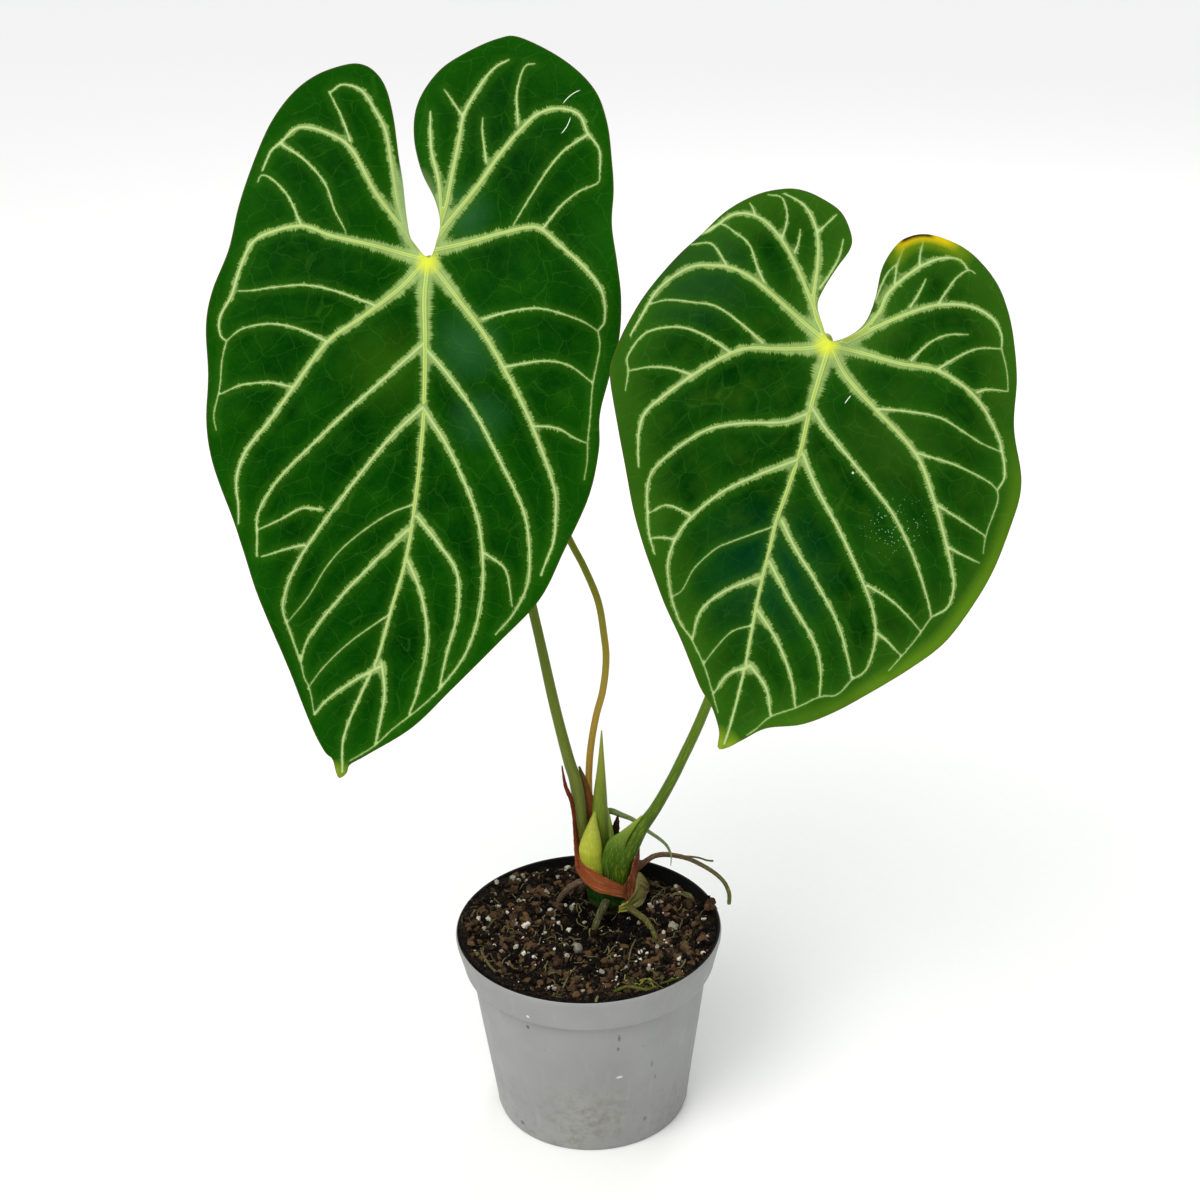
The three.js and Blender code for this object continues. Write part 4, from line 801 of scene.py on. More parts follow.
# %% Blade finish
def blade_finish(name, dark, mid, light, rim, tips_and_painted_sheens, marks, scratches=(), drops_at=None):
    """The skin of a blade from four greens, with its painted sheen, yellow tips, marks, scratches and dried
    drops.
    """
    material, tree, shader = new_material(name, {"IOR": 1.45, "Specular IOR Level": 0.01})
    skin, vein = (add_node(tree, "ShaderNodeAttribute", attribute_name=key).outputs["Vector"]
                  for key in ("skin", "vein"))
    band, line, edge, back = (add_node(tree, "ShaderNodeAttribute", attribute_name=key).outputs["Fac"]
                              for key in ("band", "line", "edge", "back"))
    power = add_node(tree, "ShaderNodeSeparateXYZ", {0: vein}).outputs["Z"]
    clouds, patches, threads, cells = (add_node(tree, "ShaderNodeTexNoise", {
        "Vector": skin, "Scale": 1 / size, "Detail": detail, "Roughness": rough}).outputs["Fac"]
        for size, detail, rough in BLADE_NOISE.values())
    silver, pale, veil = vein_fringe(tree, vein, power, band, threads)
    from_rib, core, yellow, dull, groove_shade = rib_lines(tree, line, power)
    nets = small_nets(tree, skin)
    cloud_mask, between, rim_mask = lighter_fields(tree, clouds, patches, band, edge)
    joint = add_node(tree, "ShaderNodeVectorMath", {0: skin}, operation="LENGTH").outputs["Value"]
    joint_mask = add_node(tree, "ShaderNodeMapRange", {
        "Value": joint, "From Min": 6.2, "From Max": 1.5}).outputs[0]
    joint_band = add_node(tree, "ShaderNodeMath", {
        0: joint_mask, 1: silver}, operation="MULTIPLY").outputs[0]
    margin = add_node(tree, "ShaderNodeMapRange", {
        "Value": edge, "From Min": 0.7, "From Max": 0.2, "To Max": 0.35}).outputs[0]

    # Painted sheen, a painted lit margin and the real yellow tips lie under the veins. Dried spots and pale
    # margins lie over them.
    layers = [(cloud_mask, mid), (between, light), (side_pleats(tree, skin), mid), (rim_mask, rim)]
    layers += [(nets[1], LINE_COLOURS["fine_net"]), (nets[0], LINE_COLOURS["wide_net"])]
    layers += soft_spots(tree, tips_and_painted_sheens, skin, edge, patches, threads)
    lines = {"veil": veil, "silver": silver, "pale": pale, "core": core, "yellow": yellow, "dull": dull,
             "groove_shade": groove_shade, "joint": joint_band, "margin": margin}
    layers += [(mask, LINE_COLOURS[kind]) for kind, mask in lines.items()]
    layers += soft_spots(tree, marks, skin, edge, patches, threads)
    layers += thin_scratches(tree, scratches, skin)
    if drops_at:
        layers += dried_drops(tree, skin, *drops_at)
    under = add_node(tree, "ShaderNodeMath", {0: back, 1: 0.5}, operation="MULTIPLY").outputs[0]
    layers.append((under, LINE_COLOURS["back"]))

    relief = add_node(tree, "ShaderNodeMapRange", {
        "Value": from_rib, "From Min": 0.7, "From Max": -0.4}).outputs[0]
    for source, amount in ((nets[0], -1.6), (nets[1], -1.6), (cells, 0.16), (threads, 0.3)):
        relief = add_node(tree, "ShaderNodeMath", {0: source, 1: amount, 2: relief},
                          operation="MULTIPLY_ADD").outputs[0]
    finish_surface(tree, shader, lay_over(tree, linear(dark), layers), relief, depth_mm=0.3)
    gloss = add_node(tree, "ShaderNodeMapRange", {
        "Value": patches, "To Min": 0.36, "To Max": 0.5}).outputs[0]
    tree.links.new(gloss, shader.inputs["Roughness"])
    print(f"{name}: {len(tree.nodes)} nodes, {len(layers)} layers of colour")
    return material


# %% The two blades
# Sheen patches are painted sheen, with painted light along the right blade's lower margin. The yellow tips
# among them are real, and so are the marks. Each: a place on the blade in mm, how far it fades out and where
# it is full, how deep it goes from the margin (0: everywhere), its colour and its strength.
LEFT_TIPS_AND_PAINTED_SHEENS = [
    ((-5, -222, 0), 9, 4, 0, "#86a02c", 0.85), ((22, -31, 0), 18, 3, 0, "#2c6034", 0.45),
    ((32, -60, 0), 15, 3, 0, "#2a5c34", 0.35), ((10, 22, 0), 15, 3, 0, "#30643a", 0.4),
    ((-10, -45, 0), 22, 4, 0, "#34600c", 0.4),
]
LEFT_MARKS = [((-17, 20, 0), 20, 12, 5, "#8aa468", 0.75)]
# Painted sheen and painted light along the lower right margin, with the real yellow tip.
RIGHT_TIPS_AND_PAINTED_SHEENS = [
    ((-15, -168, 0), 11, 4, 0, "#90aa28", 0.9), ((-10, -95, 0), 34, 8, 0, "#04361c", 0.6),
    ((-60, 20, 0), 30, 10, 0, "#1c4420", 0.5), ((34, -34, 0), 26, 5, 0, "#2c5210", 0.5),
    ((60, -100, 0), 85, 35, 7, "#5f861a", 0.6),
]
RIGHT_MARKS = [
    ((36, 53, 0), 22, 12, 8, "#6f8a14", 0.8), ((35, 53, 0), 15, 9, 4.2, "#cbb312", 0.95),
    ((32, 53, 0), 9, 6, 2.0, "#2c140a", 0.95), ((18.2, -49.3, 0), 0.6, 0.2, 0, "#dfe8dc", 0.95),
]
# Scratches: the middle of each, the centre of its circle and half its length, in mm.
LEFT_SCRATCHES = [((45.2, 78.3, 0), (55.7, 69, 0), 4.8), ((46.2, 65.3, 0), (32.9, 69.5, 0), 4.2)]
RIGHT_SCRATCHES = [((11.6, -20.3, 0), (40, -36, 0), 2.2)]
# The middle and the reach of the dried drops, in mm.
RIGHT_DROPS = ((39, -67, 0), 20)
left_finish = blade_finish("velvet_blade_left", "#012d01", "#073c02", "#194c04", "#114a03", LEFT_TIPS_AND_PAINTED_SHEENS,
                           LEFT_MARKS, LEFT_SCRATCHES)
right_finish = blade_finish("velvet_blade_right", "#012c02", "#124207", "#2a4f0b", "#335f12", RIGHT_TIPS_AND_PAINTED_SHEENS,
                            RIGHT_MARKS, RIGHT_SCRATCHES, RIGHT_DROPS)
add_piece("left_leaf", [leaf_part(LEFT_LEAF)], [left_finish], "blade_left")
add_piece("right_leaf", [leaf_part(RIGHT_LEAF)], [right_finish], "blade_right")

# %% [markdown]
# ## Stalks, sheaths and roots: one tube with a section that changes
# Petioles, the bud, dry sheaths and roots are all long forms that narrow, bend and flatten. Each is swept
# along rows of x, y, z and radius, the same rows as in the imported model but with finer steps. A relief
# function adds what a coarse tube leaves out: ridges along a sheath, wrinkles across a root, swollen rings.

# %% Swept tubes
LEAST_RADIUS_MM = 0.25


def sweep(rows, sides=20, per=8, flat=1.0, across=(1, 0, 0), relief=None):
    """A closed tube. Its wide way lies towards `across` and its other way is `flat` times as deep."""
    line = smooth_line(rows, per)
    centre, radius = line[:, :3], np.maximum(line[:, 3], LEAST_RADIUS_MM)
    along = np.gradient(centre, axis=0)
    along /= np.linalg.norm(along, axis=1)[:, None]
    wide = np.array(across, float) - along * (along @ np.array(across, float))[:, None]
    wide /= np.linalg.norm(wide, axis=1)[:, None]
    deep = np.cross(along, wide)
    length = np.concatenate([[0], np.cumsum(np.linalg.norm(np.diff(centre, axis=0), axis=1))])
    angle = 2 * np.pi * np.arange(sides) / sides
    swell = 1 + (relief(angle[None, :], length[:, None]) if relief else 0) + np.zeros((len(line), sides))
    reach = radius[:, None] * swell
    out = (reach * np.cos(angle))[..., None] * wide[:, None] + (
        flat * reach * np.sin(angle))[..., None] * deep[:, None]
    rings = (centre[:, None] + out).reshape(-1, 3)
    ends = [centre[0] - along[0] * radius[0] / 2, centre[-1] + along[-1] * radius[-1] / 2]
    around = np.repeat(radius, sides)
    turn = np.tile(angle, len(line))
    skin = np.column_stack([around * np.cos(turn), around * np.sin(turn), np.repeat(length, sides)])
    skin = np.vstack([skin, (0, 0, 0), (0, 0, length[-1])])
    share = np.concatenate([np.repeat(length / length[-1], sides), [0, 1]])
    faces = tube_faces(len(line), sides)
    return {"points": np.vstack([rings, ends]), "faces": faces, "skin": skin, "along": share}


def ridges(count, depth, twist=0.0, wrinkle=0.0, spacing=3.0):
    """Ridges along a tube and wrinkles across it, as a share of its radius."""
    def relief(angle, length):
        lengthwise = depth * np.sin(count * angle + twist * length) * (0.6 + 0.4 * np.sin(length / 7 + angle))
        crosswise = wrinkle * np.sin(2 * np.pi * length / spacing + 1.3 * np.sin(2 * angle + length / 5))
        return lengthwise + crosswise
    return relief


# %% [markdown]
# ## Finishes of stalks, dry sheaths and roots
# A living petiole has a thin waxy skin with fine streaks along it. A dried sheath is papery, with fibres
# that stand out and darker torn edges. An aerial root has a corky, mealy skin. One function makes them all:
# colours along the length, streaks drawn out along it, small flecks, and relief from the same patterns.

# %% Skin finish
BLOTCH_MM = 6
FLECK_MM = 0.8


def skin_finish(name, colours, streak, fleck, roughness, relief_mm, fleck_share, streak_mm=0.5, stretch=14):
    """The skin of a stalk, sheath or root. `colours` are places along it, 0 to 1, with their colours."""
    material, tree, shader = new_material(name, {
        "Roughness": roughness, "IOR": 1.45, "Specular IOR Level": 0.15})
    skin = add_node(tree, "ShaderNodeAttribute", attribute_name="skin").outputs["Vector"]
    along = add_node(tree, "ShaderNodeAttribute", attribute_name="along").outputs["Fac"]
    drawn = add_node(tree, "ShaderNodeVectorMath", {0: skin, 1: (1, 1, 1 / stretch)}, operation="MULTIPLY")
    streaks = add_node(tree, "ShaderNodeTexNoise", {
        "Vector": drawn.outputs[0], "Scale": 1 / streak_mm, "Detail": 3}).outputs["Fac"]
    blotches = add_node(tree, "ShaderNodeTexNoise", {
        "Vector": skin, "Scale": 1 / BLOTCH_MM, "Detail": 3}).outputs["Fac"]
    flecks = add_node(tree, "ShaderNodeTexNoise", {
        "Vector": skin, "Scale": 1 / FLECK_MM, "Detail": 2, "Roughness": 0.7}).outputs["Fac"]
    uneven = add_node(tree, "ShaderNodeMath", {0: blotches, 1: 0.16, 2: along}, operation="MULTIPLY_ADD")
    place = add_node(tree, "ShaderNodeMath", {
        0: uneven.outputs[0], 1: 0.08}, operation="SUBTRACT").outputs[0]
    ramp = add_node(tree, "ShaderNodeValToRGB", {"Fac": place})
    for index, (at, colour) in enumerate(colours):
        stop = ramp.color_ramp.elements[index] if index < 2 else ramp.color_ramp.elements.new(at)
        stop.position = at
        stop.color = linear(colour)
    streak_mask = add_node(tree, "ShaderNodeMapRange", {
        "Value": streaks, "From Min": 0.5, "From Max": 0.66, "To Max": 0.6}).outputs[0]
    fleck_mask = add_node(tree, "ShaderNodeMapRange", {
        "Value": flecks, "From Min": fleck_share, "From Max": fleck_share + 0.08, "To Max": 0.8}).outputs[0]
    colour = lay_over(tree, ramp.outputs["Color"], [(streak_mask, streak), (fleck_mask, fleck)])
    height = add_node(tree, "ShaderNodeMath", {0: flecks, 1: 0.5, 2: streaks}, operation="MULTIPLY_ADD")
    finish_surface(tree, shader, colour, height.outputs[0], relief_mm)
    return material


# %% Kinds of skin and their colours
LIVING = {"roughness": 0.36, "relief_mm": 0.08, "fleck_share": 0.66}
PAPERY = {"roughness": 0.72, "streak_mm": 0.35, "stretch": 22, "relief_mm": 0.35, "fleck_share": 0.58}
CORKY = {"roughness": 0.78, "streak_mm": 0.7, "stretch": 3, "relief_mm": 0.3, "fleck_share": 0.56}
STRAPPY = {"roughness": 0.7, "streak_mm": 0.8, "stretch": 30, "relief_mm": 0.3, "fleck_share": 0.6}
# Each colour belongs to a place along the piece. The first two are those of its two ends.
LEFT_PETIOLE_COLOURS = [(0, "#6a6830"), (1, "#7f9434"), (0.13, "#626a2a"), (0.28, "#60701c"),
                        (0.9, "#667a1c")]
RIGHT_PETIOLE_COLOURS = [(0, "#3a5410"), (1, "#869c2c"), (0.08, "#3c5410"), (0.4, "#557214"),
                         (0.9, "#587616")]
STALK_COLOURS = [(0, "#947028"), (1, "#6c7c26"), (0.35, "#a0842e"), (0.7, "#808828")]
COLLAR_COLOURS = [(0, "#5a2210"), (1, "#44220f"), (0.14, "#7c3c1c"), (0.35, "#924a22"), (0.66, "#844424"),
                  (0.73, "#4a1e0c"), (0.8, "#70391e")]
OLD_COLOURS = [(0, "#84861f"), (1, "#62502e"), (0.3, "#5a5c1e"), (0.62, "#7e7840")]

# %% Skin of each piece
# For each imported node: the material's name, colours, streaks, flecks and kind of skin.
SKINS = {
    "petiole_left": ("waxy_petiole_olive", LEFT_PETIOLE_COLOURS, "#727e38", "#363e14", LIVING),
    "petiole_right": ("waxy_petiole_green", RIGHT_PETIOLE_COLOURS, "#758c2a", "#385012", LIVING),
    "petiole_wing": ("waxy_petiole_wing", [(0, "#26420a"), (1, "#8a9c34"), (0.5, "#456212")], "#74903a",
                     "#3f5c14", LIVING),
    "flower_stalk": ("waxy_flower_stalk", STALK_COLOURS, "#a8843c", "#5a3f1c", LIVING),
    "spadix": ("beaded_spadix", [(0, "#7f7a34"), (1, "#6a5c2c")], "#948c44", "#4c4420", LIVING),
    "spathe": ("thin_green_spathe", [(0, "#5f7a2c"), (1, "#767a36")], "#7f984c", "#4a5c26", LIVING),
    "bud_sheath": ("young_sheath", [(0, "#66801a"), (1, "#93983a"), (0.5, "#a9b030")], "#bcc058", "#7a8a24",
                   LIVING),
    "new_leaf": ("rolled_young_leaf", [(0, "#425614"), (1, "#8e9034"), (0.5, "#62761e")], "#7e8c34",
                 "#4a641e", LIVING),
    "stem": ("green_stem_and_rootstock", [(0, "#3a2a1c"), (1, "#234010"), (0.5, "#3f3420"),
                                          (0.62, "#0e2e0a")], "#33581e", "#3f3c20", LIVING),
    "dry_collar": ("dried_sheath_rust", COLLAR_COLOURS, "#bd7c50", "#6a2f14", PAPERY),
    "collar_tip": ("dried_sheath_red", [(0, "#8a4622"), (1, "#702a12"), (0.35, "#5a2410")], "#8f4a26",
                   "#2c1008", PAPERY),
    "brown_sheath": ("dried_sheath_dark", [(0, "#5f2c14"), (1, "#4f4a1e"), (0.6, "#7a4220")], "#8f5a34",
                     "#2c140a", PAPERY),
    "inner_sheath": ("inner_young_sheath", [(0, "#4f6c1e"), (1, "#8a9e44")], "#9aac5a", "#5a4a24", LIVING),
    "old_sheath": ("fibrous_old_sheath", OLD_COLOURS, "#b8b07c", "#3f2614", STRAPPY),
    "withered_scrap": ("withered_scrap_brown", [(0, "#1c120c"), (1, "#2e1c12")], "#4a3020", "#0c0805",
                       PAPERY),
    "pale_bract": ("pale_papery_bract", [(0, "#6a8040"), (1, "#8a9868")], "#9aa878", "#56643a", PAPERY),
    "root_arching": ("aerial_root_grey", [(0, "#6a4a3a"), (1, "#565a26"), (0.5, "#5f5034")], "#8a7a5a",
                     "#3a2c20", CORKY),
    "root_front": ("aerial_root_olive", [(0, "#525024"), (1, "#4c4822")], "#7f7c48", "#2c2817", CORKY),
    "root_stub": ("aerial_root_dull", [(0, "#42422a"), (1, "#484628")], "#7f7c5a", "#2c2618", CORKY),
    "root_left": ("aerial_root_brown", [(0, "#5c4a3a"), (1, "#544030")], "#7f6c56", "#2c2018", CORKY),
    "root_surface": ("surface_root", [(0, "#4f4c28"), (1, "#5c5a30")], "#7a7448", "#2c2617", CORKY),
}
finishes = {}
for node, (name, colours, streak, fleck, family) in SKINS.items():
    finishes[node] = skin_finish(name, colours, streak, fleck, **family)
print("skin finishes:", len(finishes))

# %% [markdown]
# ## Petioles and the flower
# Each petiole is a slender round stalk with a swollen joint under its blade. The right one broadens at its
# base into a wing that clasps the crown. The flower is a slim stalk with a beaded spadix and a narrow spathe
# leaning back behind it.

# %% Rows of petioles and flower
# Rows of x, y, z and radius in mm. The last row of each petiole stops just behind its blade.
LEFT_PETIOLE = [
    [2.5, 29.5, 100, 5.2], [1, 29.5, 108, 4.6], [-0.6, 29.8, 115, 4], [-1.9, 30, 122, 3.6],
    [-3, 30, 137, 3.2], [-4.6, 30.4, 150, 2.9], [-7, 31, 159, 2.7], [-11, 33, 177, 2.5],
    [-14.3, 34.5, 194, 2.4], [-20.4, 38, 228, 2.2], [-33, 46, 292, 2.1], [-45, 54, 347, 2.2],
    [-54, 57, 375, 2.5], [-58.5, 53, 386, 2.9], [-59, 46.8, 388.1, 2.8],
]
RIGHT_PETIOLE = [
    [13.8, 24, 98, 6.2], [14, 23.5, 107, 6.6], [15, 22.6, 113, 6.2], [19.2, 22, 119, 4.6],
    [24.8, 22, 129, 3.3], [31, 22, 138.5, 2.7], [37.4, 22, 150.7, 2.5], [43, 22, 163, 2.4],
    [53, 22.5, 187, 2.3], [69, 24, 233, 2.1], [86, 26, 294, 2.1], [96, 26, 337, 2.2],
    [101, 23, 355, 2.5], [102.5, 17, 361, 2.9], [102, 12, 360.5, 2.8],
]
RIGHT_WING = [
    [11, 20, 103, 4.2], [11.2, 19, 111, 4.8], [12.4, 18.6, 117.5, 5.2], [13.6, 18.6, 122.6, 4.4],
    [17, 19.2, 127, 2.5], [21.6, 20.4, 132, 1.2], [25.2, 21, 136, 0.4],
]
FLOWER_STALK = [
    [3.5, 31.5, 115, 1.6], [1.8, 33.5, 129, 1.6], [1.5, 34, 143, 1.6], [1.8, 34, 154, 1.6],
    [3, 34.5, 166, 1.6], [5.5, 35, 180, 1.6], [8.9, 36, 193, 1.6], [10.6, 38, 207, 1.6],
    [9.9, 41, 218, 1.6], [7.6, 44.5, 233, 1.6], [1.8, 50, 247, 1.6], [-4.2, 55, 258, 1.6],
    [-13, 62, 277, 1.5], [-20, 68, 295, 1.5],
]
SPADIX = [
    [-20.4, 68.4, 296.6, 2.2], [-22, 70, 303, 2.7], [-24.5, 72, 315, 2.6], [-27.5, 73.5, 331, 2.2],
    [-30, 74, 347, 1.2],
]

# %% Petioles and flower
stalk_relief = ridges(5, 0.02, 0.01)
add_piece("left_petiole", [sweep(LEFT_PETIOLE, 24, 12, relief=stalk_relief)], [finishes["petiole_left"]],
          "petiole_left")
right_parts = [sweep(RIGHT_PETIOLE, 24, 12, relief=stalk_relief),
               sweep(RIGHT_WING, 28, 10, flat=0.45, relief=ridges(9, 0.03))]
add_piece("right_petiole", right_parts, [finishes["petiole_right"], finishes["petiole_wing"]],
          "petiole_right", face_materials=part_numbers(right_parts))
add_piece("flower_stem", [sweep(FLOWER_STALK, 16, 10, relief=ridges(4, 0.04))], [finishes["flower_stalk"]],
          "flower_stalk")


def beads(angle, length):
    """Rows of small round flowers, set like bricks."""
    height, bead_mm = 0.1, 1.5
    shift = np.pi * np.floor(length / bead_mm) / 2
    return height * np.abs(np.sin(4 * angle + shift) * np.sin(np.pi * length / bead_mm))


add_piece("flower_spadix", [sweep(SPADIX, 32, 26, relief=beads)], [finishes["spadix"]], "spadix")


def sheet_part(columns, rows, place):
    """A thin closed sheet. place(a, b, side) takes arrays from 0 to 1 and gives points in mm."""
    a, b = np.meshgrid(np.linspace(0, 1, columns + 1), np.linspace(0, 1, rows + 1))
    a, b = a.ravel(), b.ravel()
    front, back = place(a, b, 1), place(a, b, -1)
    wide, count = columns + 1, len(a)
    quads = [(j * wide + i, j * wide + i + 1, (j + 1) * wide + i + 1, (j + 1) * wide + i)
             for j in range(rows) for i in range(columns)]
    loop = list(range(wide)) + [j * wide + columns for j in range(1, rows + 1)]
    loop += [rows * wide + i for i in range(columns - 1, -1, -1)] + [j * wide for j in range(rows - 1, 0, -1)]
    walls = [(s, s + count, t + count, t) for s, t in zip(loop, loop[1:] + loop[:1])]
    faces = quads + [tuple(i + count for i in q[::-1]) for q in quads] + walls
    points = np.concatenate([front, back])
    length = np.tile(front[:, 2] - front[:, 2].min(), 2)
    skin = np.column_stack([points[:, 0], points[:, 1], length])
    return {"points": points, "faces": faces, "skin": skin, "along": np.concatenate([b, b])}


SPATHE = {"base": (-20.2, 69.4, 294.6), "length": 52, "width": 13, "thick": 0.6, "lean": 38, "yaw": -24}


def spathe_place(a, b, side):
    """The spathe: a narrow blade, hollow along its middle and bent back."""
    half = SPATHE["width"] / 2 * np.maximum(0.12, np.abs(np.sin(np.pi * (0.1 + 0.87 * b))) ** 0.8)
    u = (2 * a - 1) * half
    v = b * SPATHE["length"]
    veins = 0.12 * np.cos(u * 2.4)
    flat = np.column_stack([u, v, 0.03 * u * u - 0.006 * v * v + veins + side * SPATHE["thick"] / 2])
    turn = Matrix.Rotation(math.radians(SPATHE["yaw"]), 3, "Y") @ Matrix.Rotation(
        math.radians(90 - SPATHE["lean"]), 3, "X")
    return flat @ np.array(turn).T + SPATHE["base"]


add_piece("flower_spathe", [sheet_part(28, 70, spathe_place)], [finishes["spathe"]], "spathe")

# %% [markdown]
# ## Crown
# Above the mix stands a short green stem. Dried sheaths of old leaves stay round it: a rust-brown collar in
# front, drawn down to a point on the right, a pale fibrous one below it, and dark withered strips behind.
# Between them stand the yellow-green sheath of a new bud and the rolled new leaf.

# %% Crown rows
# The middle of the crown, x and y, and rows of x, y, z and radius, in mm.
CROWN_CENTRE = (10, 27.5)
STEM = [
    [10, 28, 55, 6], [10, 28, 73, 7], [10, 28, 84, 7.4], [10, 28, 89.5, 10.4], [10, 28, 95, 11],
    [9.6, 27.8, 103, 10], [8.5, 28, 111, 6.5], [8, 28.5, 116, 4],
]
NEW_LEAF = [
    [6.5, 28, 105, 4], [6.1, 28, 125, 4], [6.4, 28, 141, 3.3], [7.3, 29, 158, 1.7],
    [7.9, 30, 175.6, 0.3],
]
BUD_SHEATH = [
    [4.6, 21.5, 102, 2.6], [3.4, 21.2, 108, 4.4], [2, 21, 114.5, 5.2], [1.7, 21, 120, 5.3],
    [2.2, 21.6, 125, 4.2], [3, 23.4, 131, 2.2], [4.1, 26, 136.2, 0.5],
]
INNER_SHEATH = [
    [10.6, 27, 110, 2.2], [10.8, 27, 118, 2], [10.6, 27.2, 126, 1.4], [9.9, 27.6, 133, 0.9],
    [9.3, 28, 138, 0.35],
]
BROWN_SHEATH = [
    [3, 31, 109, 3.6], [2.2, 32, 127, 3.2], [1.2, 32.4, 138, 2.6], [-0.6, 32.4, 148, 1.5],
    [-2.6, 32.2, 156, 0.5],
]
COLLAR_TIP = [
    [-3.6, 22, 110, 2.4], [-4.6, 23.2, 119, 1.9], [-5.2, 24.6, 128, 1.4], [-5.6, 25.6, 135, 1.2],
    [-6.6, 26.4, 142, 1.3], [-9, 27.4, 149, 1.1], [-10.4, 28, 159, 0.4],
]
SCRAP = [
    [12.6, 31.5, 114, 1], [12.6, 31.5, 121, 2.1], [13.6, 31.5, 125, 1.6], [14.4, 31.6, 130, 0.4],
]
PALE_BRACT = [
    [6, 33.6, 119, 1.1], [8, 33.4, 128, 1.4], [10.6, 33, 131.7, 1.6], [16, 33.2, 129.5, 1.4],
    [22, 33.6, 126.2, 1.1], [28.2, 34, 120, 0.95], [33, 34, 116, 0.9], [36.6, 33, 112.7, 0.8],
    [38.6, 32, 108, 0.6], [38.5, 31, 102.9, 0.35],
]

# %% Swept pieces of the crown
EAST, UP = (1, 0, 0), (0, 0, 1)
# Each piece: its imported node, rows, sides, steps, how flat it is, which way is wide, and its relief.
CROWN = {
    "crown_stem": ("stem", STEM, 48, 12, 1, EAST, ridges(11, 0.012, 0, 0.02, 5.5)),
    "rolled_leaf": ("new_leaf", NEW_LEAF, 28, 14, 1, EAST, ridges(1, 0.06, 0.06)),
    "bud": ("bud_sheath", BUD_SHEATH, 32, 12, 1, EAST, ridges(2, 0.05, 0, 0.008, 4)),
    "inner_young_sheath": ("inner_sheath", INNER_SHEATH, 20, 14, 0.4, EAST, ridges(7, 0.05, 0.1)),
    "dark_sheath": ("brown_sheath", BROWN_SHEATH, 24, 16, 0.4, EAST, ridges(7, 0.07, 0.2, 0.03, 6)),
    "dark_scrap": ("withered_scrap", SCRAP, 20, 14, 0.4, EAST, ridges(5, 0.12, 0.4, 0.08, 2.5)),
    "curled_bract": ("pale_bract", PALE_BRACT, 20, 12, 0.45, UP, ridges(3, 0.1, 0.2)),
}
for name, (node, rows, sides, per, flat, across, relief) in CROWN.items():
    add_piece(name, [sweep(rows, sides, per, flat, across, relief)], [finishes[node]], node)

# %% Dried sheaths round the crown
# Degrees from the front, positive to the right, with the height or radius there in mm.
COLLAR = {
    "span": (-92, 76),
    "top": [(-92, 120), (-80, 119), (-58, 115), (-30, 111), (-7, 108.4), (12, 105.4), (27, 103), (39, 107.5),
            (51, 113.5), (60, 116), (76, 117)],
    "bottom": [(-92, 108), (-69, 105.8), (-49, 102.8), (-20, 99.7), (8, 98.4), (23, 97), (36, 94), (52, 98),
               (66, 105), (76, 108)],
    "radius": [(-92, 15.2), (-60, 15.2), (-30, 13.8), (0, 13.4), (30, 14.2), (60, 13.9), (76, 13.9)],
}
OLD_SHEATH = {
    "span": (18, 98),
    "top": [(18, 92), (36, 93.4), (52, 98), (66, 106), (76, 102), (88, 96), (98, 91.5)],
    "bottom": [(18, 88.5), (60, 88), (98, 89.5)],
    "radius": [(18, 12.3), (52, 13.4), (66, 14.4), (85, 16.2), (98, 17.2)],
}


def sheath_part(form, columns, rows, flare, ragged, seed, straps, upright_from):
    """A sheath bent round the crown, with a torn upper edge. From an angle on its fibres stand upright."""
    half_thick, crown_radius = 0.35, 14

    def value(name, degrees):
        return np.interp(degrees, *zip(*form[name]))

    def place(a, b, side):
        degrees = form["span"][0] + (form["span"][1] - form["span"][0]) * a
        low, high = value("bottom", degrees), value("top", degrees)
        spots = np.column_stack([degrees / 3, np.zeros_like(a), np.zeros_like(a)])
        tear = ragged * (lumps(spots, 1.1, seed) + 0.6 * lumps(spots, 0.4, seed + 1))
        z = low + (high + tear - low) * b
        # Fibres and straps follow the two edges of the sheath, folds go across them.
        fibres = 0.07 * np.sin(11 * b * (high - low) / 8 + 2 * lumps(spots, 4, seed))
        folds = 0.3 * np.sin(degrees * 0.16 + 0.25 * z) + straps * np.abs(np.sin(8 * b + 0.03 * degrees))
        reach = value("radius", degrees) + flare * b ** 3 + fibres + folds + side * half_thick
        turn = np.radians(degrees)
        x, y = CROWN_CENTRE[0] + reach * np.sin(turn), CROWN_CENTRE[1] - reach * np.cos(turn)
        return np.column_stack([x, y, z])

    part = sheet_part(columns, rows, place)
    # The last of the three values of the skin runs along the fibres.
    x, y, z = part["points"].T
    turn = np.arctan2(x - CROWN_CENTRE[0], CROWN_CENTRE[1] - y)
    round_mm, none = crown_radius * turn, np.zeros_like(z)
    low, high = value("bottom", np.degrees(turn)), value("top", np.degrees(turn))
    level = np.column_stack([10 * (z - low) / (high - low), none, round_mm])
    upright = np.column_stack([round_mm, none, z])
    part["skin"] = np.where(np.degrees(turn)[:, None] > upright_from, upright, level)
    start, end = form["span"]
    part["along"] = np.clip((np.degrees(turn) - start) / (end - start), 0, 1)
    return part


